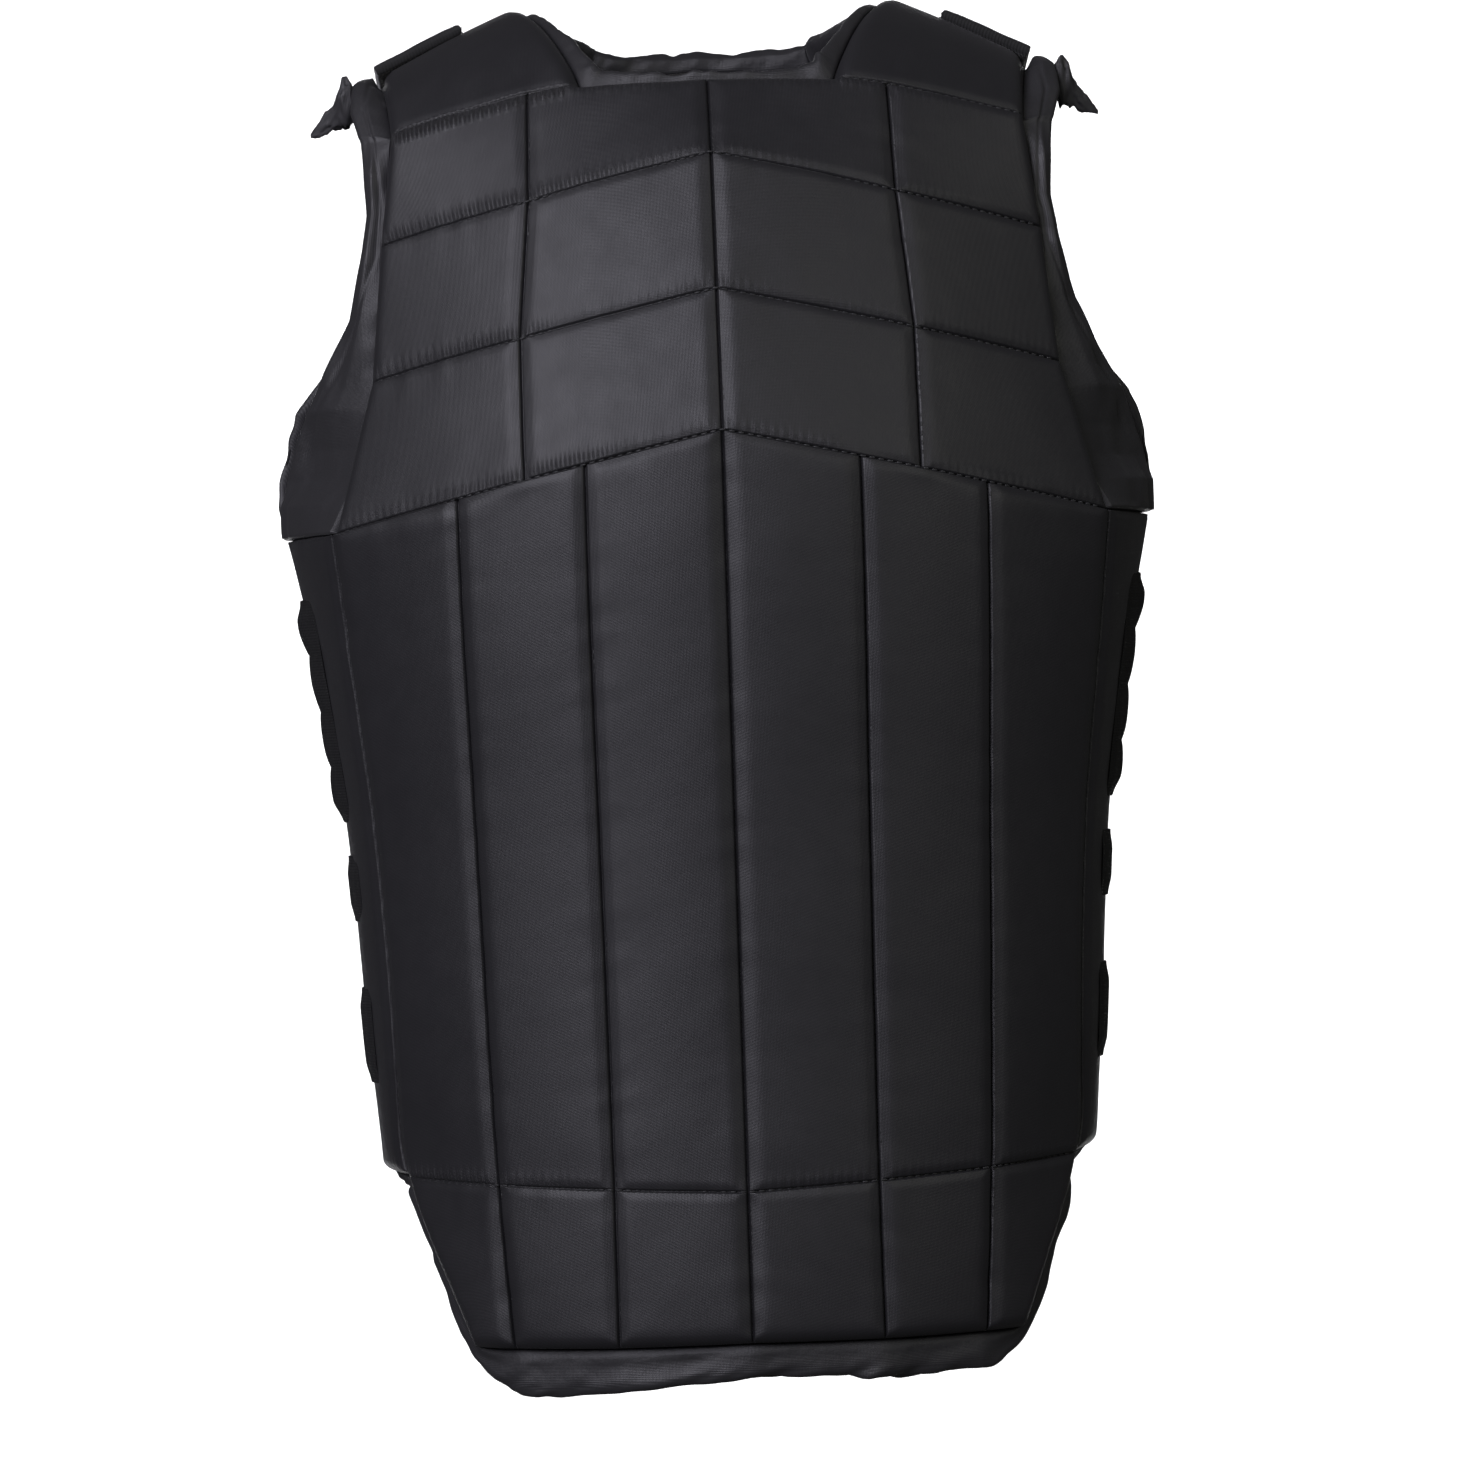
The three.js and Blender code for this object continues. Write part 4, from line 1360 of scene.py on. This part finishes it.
@dataclass
class SideStrap:
    """An elastic strap round one side, from the front panel over the side slit to the back panel.

    Its height is drawn into lobes |sin| of the way down, each crossed by fine gathers of the elastic.
    """

    row: StrapRow
    side: Side
    forms: tuple[PanelForm, PanelForm]
    thickness: float = 1.5 * MM
    ruffle: float = 1.7 * MM
    flat_gather: float = 0.175 * MM
    lobe_gather: float = 0.77 * MM
    deepest_gather: float = 0.4 * MM
    edge_radius: float = 1.1 * MM
    edge_slope: float = 9 * MM
    slit_sag: float = 2 * MM
    slit_reach: float = 5 * MM

    def build(self, materials: list[bpy.types.Material]) -> bpy.types.Object:
        """Makes the strap.

        Args:
            materials: The elastic's finish.

        Returns:
            The finished piece.
        """
        front, back = self.forms
        sizes = front.sizes
        crest = sizes.foam + front.rows[0].slant * sizes.body_length / 2
        heights = crest - np.linspace(self.row.top, self.row.foot, 110) * sizes.body_length
        lines = np.linspace(self.row.start, Line.SIDE, 34)
        seats, normals = [], []
        for form, places in ((front, lines), (back, lines[::-1])):
            height, line = np.meshgrid(heights, places * self.side, indexing="ij")
            level = form.level_at(line, height)
            seat = form.plate(level, line)[0]
            seat[..., 2] = height
            normal = form.normal(level, line)
            normal[..., 2] = 0
            seats.append(seat)
            normals.append(unit(normal))
        slit = np.linspace(0, 1, 7)[1:-1]
        bridge = mix(seats[0][:, [-1]], seats[1][:, [0]], slit[None, :, None])
        turned = mix(normals[0][:, [-1]], normals[1][:, [0]], slit[None, :, None])
        seat = np.concatenate([seats[0], bridge, seats[1]], axis=1)
        normal = unit(np.concatenate([normals[0], turned, normals[1]], axis=1))
        down = np.broadcast_to((heights[0] - heights)[:, None], seat.shape[:2])
        along = arc_length(seat, 1)
        ends = np.clip(np.minimum(along, along[:, [-1]] - along) / (16 * MM), 0, 1)
        lobed, gathering = np.zeros(down.shape), np.full(down.shape, self.flat_gather)
        if self.row.lobes:
            lobed = np.abs(np.sin(np.pi * self.row.lobes * down / down[-1, 0])) ** 0.7
            gathering = self.lobe_gather * (0.35 + 0.65 * lobed)
        swell = self.ruffle * lobed * smooth_step(ends)
        drawn = ELASTIC_GATHERS.at(along, down, self.row.seed) * gathering
        edge = np.minimum(down, down[-1, 0] - down)
        rounded = edge_round(edge, self.edge_radius) * self.thickness / 2
        rounded = np.maximum(rounded, (1 - smooth_step(ends * 3)) * self.thickness * 0.42)
        first, last = len(lines) - 1, len(lines) + len(slit)
        near_side, far_side = along[:, [first]], along[:, [last]]
        from_middle = np.abs(along - (near_side + far_side) / 2)
        beyond = np.clip(from_middle - (far_side - near_side) / 2, 0, None)
        sag = self.slit_sag * smooth_step(1 - beyond / self.slit_reach)
        full = 0.3 + 0.7 * smooth_step(edge / self.edge_slope)
        swell, rounded = swell * full, np.maximum(rounded, (1 - full) * self.thickness * 0.45)
        lift = sizes.crown * full + sizes.piece_gap - sag
        drawn = np.clip(drawn, -self.deepest_gather, None)
        outer = seat + normal * (lift + self.thickness + swell + drawn - rounded)[..., None]
        inner = seat + normal * (lift + swell * 0.5 + rounded)[..., None]
        # Painted shade in the creases between the lobes.
        crease = 1 - lobed if self.row.lobes else np.zeros(down.shape)
        surface = shell(outer, inner, np.stack([along, down], -1), crease)
        node = f"side_strap_{self.row.name}_{self.side.name.lower()}"
        piece = surface.build(node + "_elastic", materials)
        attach(piece, "root")
        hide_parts(node)
        return piece


TAPE_WRINKLES = Ripple(9 * MM, 16 * MM, 0.35 * MM)


@dataclass
class ShoulderTab:
    """A stiff tab over the shoulder joint, from the front's crest onto the back yoke, with rounded edges."""

    side: Side
    forms: tuple[PanelForm, PanelForm]
    thickness: float = 4.5 * MM
    edge_radius: float = 1.8 * MM
    seed: int = 71
    sag: float = 2 * MM
    sag_levels: float = 0.12
    overhang: float = 1 * MM
    first_line: float = 2.09
    front_level: float = 0.12
    back_level: float = 0.8

    def build(self, materials: list[bpy.types.Material]) -> bpy.types.Object:
        """Makes the tab.

        Args:
            materials: The hook tape's finish.

        Returns:
            The finished piece.
        """
        front, back = self.forms
        sizes = front.sizes
        before, behind = np.linspace(-self.front_level, 0, 12), np.linspace(0, self.back_level, 46)
        places = np.concatenate([before, behind[1:]])
        lines = self.side * np.linspace(self.first_line, Line.ARMHOLE, 60)
        place, line = np.meshgrid(places, lines, indexing="ij")
        on_front = (place < 0)[..., None]
        level = np.abs(place)
        points = np.where(on_front, front.plate(level, line)[0], back.plate(level, line)[0])
        normal = np.where(on_front, front.normal(level, line), back.normal(level, line))
        normal = unit(smooth_path(normal, 3))
        points = smooth_path(points, 2)
        across, along = arc_length(points, 1), arc_length(points, 0)
        outward = unit(points[:, -1] - points[:, 0])[:, None]
        points = points + outward * (self.overhang * smooth_step(across / across[:, [-1]]))[..., None]
        lift = sizes.crown + sizes.seam_gap - self.sag * bell(place, 0.0, self.sag_levels)
        from_sides = np.minimum(across, across[:, [-1]] - across)
        from_ends = np.minimum(along, along[[-1]] - along)
        edge = np.minimum(from_sides, from_ends)
        rounded = edge_round(edge, self.edge_radius) * self.thickness * 0.45
        wrinkle = TAPE_WRINKLES.at(across, along, self.seed)
        outer = points + normal * (lift + self.thickness + wrinkle - rounded)[..., None]
        inner = points + normal * (lift + rounded)[..., None]
        # Painted shade of a stitched line, 3 mm in from the tab's edge.
        near = np.clip(1 - np.abs(edge - 3 * MM) / (0.8 * MM), 0, 1)
        node = f"shoulder_tab_{self.side.name.lower()}"
        surface = shell(outer, inner, np.stack([across, along], -1), near)
        piece = surface.build(node + "_tape", materials)
        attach(piece, "root")
        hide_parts(node)
        return piece


@dataclass(frozen=True)
class TieRow:
    """One ring of a tie: along and fall in shares of its length, wide and deep in shares of its radius."""

    along: float
    fall: float
    wide: float
    deep: float


TIE_ROWS = (
    TieRow(0.0, 0.2, 1.1, 0.8),
    TieRow(0.14, 0.28, 1.4, 1.1),
    TieRow(0.3, 0.4, 1.2, 0.9),
    TieRow(0.42, 0.55, 0.7, 0.55),
    TieRow(0.54, 0.62, 0.75, 0.45),
    TieRow(0.78, 0.78, 0.5, 0.28),
    TieRow(1.0, 0.92, 0.14, 0.08),
)


@dataclass
class ShoulderTie:
    """A knotted end of cloth out of the armhole edge, in creased rings that fall as they go out.

    Its creases are value noise, crease_counts squares round and along it, mixed with ribs that wind round it.
    """

    form: PanelForm
    side: Side
    seed: int
    length: float = 20 * MM
    radius: float = 6.5 * MM
    crease_counts: tuple[float, float] = (4.5, 11)
    crease_depth: float = 0.42
    ribs: int = 5
    rib_winding: float = 6
    rib_depth: float = 0.22
    rib_share: float = 0.4
    flatness: float = 0.8

    def build(self, materials: list[bpy.types.Material]) -> bpy.types.Object:
        """Makes the tie.

        Args:
            materials: The trim's finish.

        Returns:
            The finished piece.
        """
        sizes = self.form.sizes
        row = GUSSET_ROWS[1]
        level, line = np.array(row.level), np.array(float(self.side * (Line.ARMHOLE + row.reach)))
        normal, edge = self.form.normal(level, line), self.form.plate(level, line)[0]
        outward = unit(edge - self.form.plate(level, np.array(float(self.side * Line.ARMHOLE)))[0])
        drawn = (row.fold * math.sin(math.pi * 0.75) - 0.5) * Gusset.thickness
        root = edge + normal * drawn - outward * sizes.piece_gap
        table = np.array([astuple(ring) for ring in TIE_ROWS])
        along = np.linspace(0, table[-1, 0], 48)
        fall, wide, deep = (smooth_path(np.interp(along, table[:, 0], table[:, i]), 2) for i in (1, 2, 3))
        around = np.linspace(0, 2 * np.pi, 28, endpoint=False)
        turns = 2 * np.abs(around / np.pi - 1)
        around_count, along_count = self.crease_counts
        creases = smooth_noise(turns[None, :] * around_count, along[:, None] * along_count, self.seed)
        winding = np.cos(self.ribs * around[None, :] + self.rib_winding * along[:, None])
        creases = mix(1 + self.crease_depth * creases, 1 + self.rib_depth * winding, self.rib_share)
        centre = root + outward * (along * self.length)[:, None]
        centre[:, 2] -= fall * self.length
        through = self.radius * deep[:, None] * np.cos(around) * creases
        upright = self.radius * wide[:, None] * np.sin(around) * creases * self.flatness
        rings = centre[:, None] + normal * through[..., None] + np.array([0.0, 0.0, 1.0]) * upright[..., None]
        cloth = np.stack(np.broadcast_arrays(around[None, :] * self.radius, along[:, None] * self.length), -1)
        node = f"shoulder_tie_{self.side.name.lower()}"
        piece = tube(rings, cloth, np.zeros(rings.shape[:2])).build(node + "_cloth", materials)
        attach(piece, "root")
        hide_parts(node)
        return piece


@dataclass
class Stitching:
    """Rows of short raised stitches beside the seams of one panel, joined in one mesh.

    Each stitch is a six-sided bar with pointed ends, laid along its seam on the cover beside the crease.
    """

    name: str
    form: PanelForm
    pitch: float = 3.9 * MM
    length: float = 2.5 * MM
    radius: float = 0.42 * MM
    beside: float = 1.1 * MM
    sunk: float = 1.9 * MM

    def runs(self) -> list[tuple[np.ndarray, np.ndarray]]:
        """Lists the stitched seams.

        Returns:
            Levels and lines along each seam, closely spaced.
        """
        fine, edge = 400, Line.ARMHOLE - 0.07
        upright = [(Level.YOKE + 0.06, Level.CHEST - 0.04, side * Line.MIDDLE) for side in Side]
        upright.insert(1, (Level.YOKE + 0.06, Level.CHEST - 0.04, Line.CENTRE))
        places = (-Line.ARMHOLE, -Line.OUTER, -Line.INNER, Line.CENTRE, Line.INNER, Line.OUTER, Line.ARMHOLE)
        for place in places:
            foot = Level.HEM - 0.1 if abs(place) < Line.ARMHOLE else Level.SKIRT - 0.05
            upright.append((Level.CHEST + 0.04, foot, place))
        runs = [(np.linspace(top, foot, fine), np.full(fine, float(place))) for top, foot, place in upright]
        neck = Line.INNER + 0.05
        level_seams = [(Level.YOKE, -edge, -neck), (Level.YOKE, neck, edge)]
        whole = (Level.COLLARBONE, Level.BREAST, Level.CHEST, Level.SKIRT)
        level_seams += [(level, -edge, edge) for level in whole]
        for level, start, end in level_seams:
            runs.append((np.full(fine, float(level)), np.linspace(start, end, fine)))
        return runs

    def build(self, materials: list[bpy.types.Material]) -> bpy.types.Object:
        """Makes the stitches.

        Args:
            materials: The thread's finish.

        Returns:
            The finished piece.
        """
        middles, directions, ups = [], [], []
        for level, line in self.runs():
            points, normal = self.form.plate(level, line)[0], self.form.normal(level, line)
            run = arc_length(points, 0)
            stops = np.arange(self.pitch, run[-1] - self.pitch / 2, self.pitch)
            path = np.stack([np.interp(stops, run, points[:, i]) for i in range(3)], -1)
            lift = unit(np.stack([np.interp(stops, run, normal[:, i]) for i in range(3)], -1))
            heading = unit(np.gradient(path, axis=0))
            sideways = unit(np.cross(heading, lift)) * -self.form.face
            is_level = level[0] == level[-1]
            shift = 0.0 if is_level else self.beside * self.form.face
            middles.append(path + sideways * shift - lift * self.sunk * (0.5 if is_level else 1.0))
            directions.append(heading)
            ups.append(lift)
        middle, heading, lift = (np.concatenate(parts) for parts in (middles, directions, ups))
        across = np.cross(heading, lift)
        around = np.linspace(0, 2 * np.pi, 6, endpoint=False)
        ring = across[:, None] * np.cos(around)[None, :, None] + lift[:, None] * np.sin(around)[None, :, None]
        half = self.length / 2
        rings = [
            middle[:, None] + heading[:, None] * half * at + ring * self.radius * size
            for at, size in ((-1, 0.35), (-0.6, 1), (0.6, 1), (1, 0.35))
        ]
        points = np.stack(rings, 1)
        count = len(middle)
        index = np.arange(count * 24).reshape(count, 4, 6)
        beside = np.roll(index, -1, axis=2)
        quads = np.stack([index[:, :-1], beside[:, :-1], beside[:, 1:], index[:, 1:]], -1).reshape(-1, 4)
        halves = ((0, [3, 2, 1, 0]), (0, [5, 4, 3, 0]), (3, [0, 1, 2, 3]), (3, [0, 3, 4, 5]))
        quads = np.concatenate([quads, *[index[:, ring_number][:, order] for ring_number, order in halves]])
        flat = points.reshape(-1, 3)
        plain = np.zeros(len(flat))
        surface = Surface(flat, quads, flat[:, [0, 2]], plain, np.zeros(len(quads), bool), plain).outward()
        piece = surface.build(self.name, materials)
        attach(piece, "root")
        return piece


@dataclass(frozen=True)
class ClothFinish:
    """A woven cloth: its colours, how it shines and how its threads and creases stand out."""

    name: str
    colour: tuple[float, float, float]
    worn: tuple[float, float, float]
    roughness: float
    sheen: float
    weave: float
    weave_size: float
    crumple: float
    crumple_size: float
    # Share by which the seam mark darkens the colour: painted shade in seams, creases and recesses.
    seam_painted_shade: float = 0.2
    stitch: float = 3.9 * MM

    def material(self) -> bpy.types.Material:
        """Builds the nodes: two tints in blots, painted shade laid by the seam mark in seams and creases,
        under bumps of threads, creases and tucks.

        Returns:
            The material.
        """
        material = bpy.data.materials.new(self.name)
        material.use_nodes = True
        nodes, links = material.node_tree.nodes, material.node_tree.links
        shader = nodes["Principled BSDF"].inputs
        place = nodes.new("ShaderNodeTexCoord").outputs["Object"]
        cloth_map = nodes.new("ShaderNodeUVMap")
        cloth_map.uv_map = "cloth"
        cloth = cloth_map.outputs["UV"]

        def noise(size: float, detail: float, source: bpy.types.NodeSocket) -> bpy.types.NodeSocket:
            """Adds a noise texture.

            Args:
                size: Size of its largest blots in metres.
                detail: How many finer layers it has.
                source: The coordinates.

            Returns:
                Its value.
            """
            node = nodes.new("ShaderNodeTexNoise")
            node.inputs["Scale"].default_value = 1 / size
            node.inputs["Detail"].default_value = detail
            links.new(source, node.inputs["Vector"])
            return node.outputs["Fac"]

        def bands(direction: str, size: float) -> bpy.types.Node:
            """Adds even bands across the cloth.

            Args:
                direction: The axis of the cloth that they cross.
                size: Their spacing in metres.

            Returns:
                The node, whose Fac is their height.
            """
            node = nodes.new("ShaderNodeTexWave")
            node.wave_type, node.bands_direction = "BANDS", direction
            node.inputs["Scale"].default_value = WAVE_PERIOD / size
            links.new(cloth, node.inputs["Vector"])
            return node

        def sums(
            operation: str, first: bpy.types.NodeSocket, second: bpy.types.NodeSocket | float
        ) -> bpy.types.NodeSocket:
            """Adds a sum of two values.

            Args:
                operation: The kind of sum.
                first: The first value.
                second: The second, a socket or a number.

            Returns:
                Its result.
            """
            node = nodes.new("ShaderNodeMath")
            node.operation = operation
            links.new(first, node.inputs[0])
            if isinstance(second, float):
                node.inputs[1].default_value = second
            else:
                links.new(second, node.inputs[1])
            return node.outputs[0]

        def blend(
            share: bpy.types.NodeSocket, first: tuple | bpy.types.NodeSocket, second: tuple
        ) -> bpy.types.NodeSocket:
            """Adds a mix of two colours.

            Args:
                share: How much of the second there is.
                first: The first colour, or a socket that gives it.
                second: The second colour.

            Returns:
                The mixed colour.
            """
            node = nodes.new("ShaderNodeMix")
            node.data_type = "RGBA"
            if isinstance(first, tuple):
                node.inputs["A"].default_value = (*first, 1)
            else:
                links.new(first, node.inputs["A"])
            node.inputs["B"].default_value = (*second, 1)
            links.new(share, node.inputs["Factor"])
            return node.outputs["Result"]

        def mark(name: str) -> bpy.types.NodeSocket:
            """Adds a reading of one of the mesh's marks.

            Args:
                name: The attribute's name.

            Returns:
                Its value.
            """
            node = nodes.new("ShaderNodeAttribute")
            node.attribute_name = name
            return node.outputs["Fac"]

        def bump(
            height: bpy.types.NodeSocket, strength: float, depth: float, below: bpy.types.NodeSocket | None
        ) -> bpy.types.NodeSocket:
            """Adds a layer of bumps.

            Args:
                height: Its heights.
                strength: How strong it is, from 0 to 1.
                depth: Its depth in metres.
                below: The layer under it, or None.

            Returns:
                The bent normal.
            """
            node = nodes.new("ShaderNodeBump")
            node.inputs["Strength"].default_value = strength
            node.inputs["Distance"].default_value = depth
            links.new(height, node.inputs["Height"])
            if below is not None:
                links.new(below, node.inputs["Normal"])
            return node.outputs["Normal"]

        tinted = blend(noise(0.05, 3.0, place), self.colour, self.worn)
        # Painted shade: the seam mark blends the colour towards a darker copy in seams, creases and recesses.
        shade = tuple(c * (1 - self.seam_painted_shade) for c in self.colour)
        links.new(blend(mark("seam"), tinted, shade), shader["Base Color"])
        rough = sums("MULTIPLY_ADD", noise(0.012, 2.0, cloth), 0.16)
        rough.node.inputs[2].default_value = self.roughness - 0.08
        links.new(rough, shader["Roughness"])
        shader["Specular IOR Level"].default_value = 0.36
        shader["Sheen Weight"].default_value = self.sheen
        shader["Sheen Roughness"].default_value = 0.4
        warp, weft = (bands(axis, self.weave_size).outputs["Fac"] for axis in ("X", "Y"))
        woven = bump(sums("ADD", warp, weft), self.weave, 0.15 * MM, None)
        creased = bump(noise(self.crumple_size, 4.0, cloth), self.crumple, 1.2 * MM, woven)
        pinch = bands("X", self.stitch)
        pinch.inputs["Distortion"].default_value = 1.2
        pinch.inputs["Detail Scale"].default_value = 60.0
        tucks = sums("MULTIPLY", pinch.outputs["Fac"], mark("tuck"))
        links.new(bump(tucks, 0.7, 0.6 * MM, creased), shader["Normal"])
        return material


COVER_CLOTH = ClothFinish(
    "cover_nylon", (0.0128, 0.0125, 0.0142), (0.0158, 0.0154, 0.0173), 0.46, 0.04, 0.25, 0.0006, 0.08, 0.009
)
LINING_CLOTH = ClothFinish(
    "lining_mesh", (0.011, 0.010, 0.009), (0.014, 0.012, 0.011), 0.85, 0.15, 0.6, 0.0018, 0.3, 0.006
)
TRIM_CLOTH = ClothFinish(
    "trim_nylon", (0.0185, 0.0181, 0.0198), (0.0235, 0.023, 0.025), 0.46, 0.05, 0.3, 0.0006, 0.3, 0.007
)
ELASTIC_WEB = ClothFinish(
    "elastic_web", (0.004, 0.004, 0.0043), (0.0055, 0.0055, 0.006), 0.9, 0.0, 0.9, 0.0012, 0.3, 0.003, 0.4
)
HOOK_TAPE = ClothFinish(
    "hook_tape", (0.007, 0.007, 0.0075), (0.01, 0.01, 0.0105), 0.82, 0.2, 0.9, 0.0014, 0.25, 0.003, 0.3
)
THREAD = ClothFinish(
    "sewing_thread", (0.014, 0.014, 0.015), (0.02, 0.02, 0.021), 0.5, 0.1, 0.2, 0.0004, 0.1, 0.002, 0.0
)


@dataclass(frozen=True)
class Studio:
    """A pale seamless backdrop with soft lights, and the camera in front of the vest, turned a little."""

    distance: float = 2.0
    turn: float = math.radians(1.5)
    roll: float = math.radians(2.0)
    aim: tuple[float, float] = (0.0038, -0.2807)
    lens: float = 114.7
    sensor: float = 36.0
    floor_depth: float = 0.25
    key_power: float = 45.0
    fill_power: float = 8.0
    kicker_power: float = 2.5
    back_power: float = 20.0

    def backdrop(self) -> bpy.types.Object:
        """Makes the floor and wall: a sheet along a profile, flat, round a quarter circle, then upright.

        Returns:
            The backdrop, marked is_backdrop.
        """
        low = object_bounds()[0][2] - self.floor_depth
        radius, near, far, wide, tall = 0.5, 0.6, 1.2, 0.68, 1.6
        bend = np.linspace(0, np.pi / 2, 17)
        profile = np.concatenate(
            [
                [[near, low]],
                np.stack([far + radius * np.sin(bend), low + radius * (1 - np.cos(bend))], -1),
                [[far + radius, low + tall]],
            ]
        )
        left = np.column_stack([np.full(len(profile), -wide), profile])
        right = np.column_stack([np.full(len(profile), wide), profile])
        points = np.concatenate([left, right])
        a = np.arange(len(profile) - 1)
        b = a + len(profile)
        quads = np.stack([a, b, b + 1, a + 1], -1)
        mesh = bpy.data.meshes.new("backdrop")
        mesh.from_pydata(points.tolist(), [], quads.tolist())
        mesh.shade_smooth()
        material = bpy.data.materials.new("pale_paper")
        material.use_nodes = True
        shader = material.node_tree.nodes["Principled BSDF"]
        shader.inputs["Base Color"].default_value = (0.93, 0.93, 0.93, 1)
        shader.inputs["Roughness"].default_value = 0.9
        shader.inputs["Specular IOR Level"].default_value = 0.1
        mesh.materials.append(material)
        sheet = bpy.data.objects.new("backdrop", mesh)
        bpy.context.scene.collection.objects.link(sheet)
        sheet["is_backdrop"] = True
        return sheet

    def light(
        self, name: str, place: tuple, aim: tuple, size: tuple, power: float, tint: tuple = (1.0, 1.0, 1.0)
    ) -> bpy.types.Object:
        """Adds a rectangular soft light.

        Args:
            name: The light's name.
            place: Where it stands.
            aim: The point it faces.
            size: Its width and height.
            power: Its power in watts.
            tint: Its colour.

        Returns:
            The light.
        """
        lamp = bpy.data.lights.new(name, "AREA")
        lamp.shape = "RECTANGLE"
        lamp.size, lamp.size_y = size
        lamp.energy = power
        lamp.color = tint
        item = bpy.data.objects.new(name, lamp)
        item.location = place
        item.rotation_euler = (Vector(aim) - Vector(place)).to_track_quat("-Z", "Y").to_euler()
        bpy.context.scene.collection.objects.link(item)
        return item

    def build(self) -> None:
        """Sets the backdrop, the lights, the even surroundings and the camera."""
        scene = bpy.context.scene
        self.backdrop()
        cool, warm = (0.99, 0.97, 1.1), (1.04, 1.04, 0.94)
        self.light("key", (-1.05, -1.8, 0.55), (0.0, 0.0, -0.2), (1.3, 1.3), self.key_power, cool)
        self.light("fill", (1.3, -1.5, 0.45), (0.08, 0.0, -0.2), (1.1, 1.1), self.fill_power, warm)
        self.light("kicker", (-1.25, -0.95, 0.7), (-0.12, 0.0, -0.12), (0.8, 0.8), self.kicker_power)
        self.light("wall_left", (-1.05, 0.95, 0.0), (-0.3, 1.85, -0.3), (0.5, 1.6), self.back_power)
        self.light("wall_right", (1.05, 0.95, 0.0), (0.3, 1.85, -0.3), (0.5, 1.6), self.back_power)
        world = bpy.data.worlds.new("surroundings")
        world.use_nodes = True
        surround = world.node_tree.nodes["Background"]
        surround.inputs["Color"].default_value = (1.0, 1.0, 1.0, 1)
        surround.inputs["Strength"].default_value = 0.05
        scene.world = world
        scene.view_settings.view_transform = "Standard"
        self.camera()

    def camera(self) -> bpy.types.Object:
        """Adds the camera.

        Returns:
            The camera, set as the scene's.
        """
        data = bpy.data.cameras.new("camera")
        data.lens = self.lens
        data.sensor_width = self.sensor
        item = bpy.data.objects.new("camera", data)
        bpy.context.scene.collection.objects.link(item)
        forward = Vector((math.sin(self.turn), math.cos(self.turn), 0))
        right = Vector((math.cos(self.turn), -math.sin(self.turn), 0))
        up = Vector((0, 0, 1))
        rolled_right = right * math.cos(self.roll) - up * math.sin(self.roll)
        rolled_up = up * math.cos(self.roll) + right * math.sin(self.roll)
        place = Vector((self.aim[0], 0, self.aim[1])) - forward * self.distance
        turned = Matrix((rolled_right, rolled_up, -forward)).transposed().to_4x4()
        item.matrix_world = Matrix.Translation(place) @ turned
        bpy.context.scene.camera = item
        return item


def main() -> None:
    """Builds every piece in order, then the studio, and reports each."""
    logging.basicConfig(level=logging.INFO, format="%(message)s")
    sizes = VestSizes()
    front = PanelForm(Face.FRONT, FRONT_ROWS, sizes.chest_reach, sizes.front_flare, sizes)
    back = PanelForm(Face.BACK, BACK_ROWS, sizes.back_reach, sizes.back_flare, sizes)
    cover, lining, trim = COVER_CLOTH.material(), LINING_CLOTH.material(), TRIM_CLOTH.material()
    elastic, tape, thread = ELASTIC_WEB.material(), HOOK_TAPE.material(), THREAD.material()
    chest_levels = (Level.YOKE, Level.COLLARBONE, Level.BREAST, Level.CHEST)
    for number, form in enumerate((front, back)):
        face = form.face.name.lower()
        chest = Cover(
            f"{face}_chest_cover", form, Level.CREST, Level.CHEST, (Line.CENTRE, Line.MIDDLE), chest_levels,
            Line.ARMHOLE, 2.2 * MM, 11 + 20 * number,
        )
        body = Cover(
            f"{face}_body_cover", form, Level.CHEST, Level.HEM, BODY_SEAMS[:-1], (Level.CHEST, Level.SKIRT),
            Line.SIDE, 2.6 * MM, 17 + 20 * number,
        )
        for part in (chest, body):
            piece = part.build([cover, lining])
            log.info("%s: %d faces", piece.name, len(piece.data.polygons))
        neck = EdgeBand(
            f"neck_binding_{face}", form, neck_stops(5.2 * MM, 3 * MM), thickness=7 * MM, folds=0.7 * MM,
            fold_length=9 * MM, slant=0.8, seed=41 + number, bunch=0.9, fan=14,
        )
        hem = EdgeBand(
            f"hem_band_{face}", form, hem_stops(16 * MM, 9 * MM), thickness=8 * MM, folds=1.3 * MM,
            fold_length=16 * MM, slant=2.2, seed=51 + number, groove=1.1 * MM,
        )
        for band in (neck, hem):
            log.info("%s", band.build([trim]).name)
        for side in Side:
            ribs = 0.15 if form.face == Face.FRONT else 1.0
            log.info("%s", Gusset(form, side, 61 + 7 * number + side, ribs).build([trim]).name)
        log.info("%s", Stitching(f"{face}_stitches", form).build([thread]).name)
    forms = (front, back)
    for side in Side:
        for row in STRAP_ROWS:
            SideStrap(row, side, forms).build([elastic])
        ShoulderTab(side, forms).build([tape])
        ShoulderTie(front, side, 91 + side).build([trim])
        log.info("%s side: straps, tab and tie", side.name.lower())
    Studio().build()


if __name__ == "__main__":
    main()
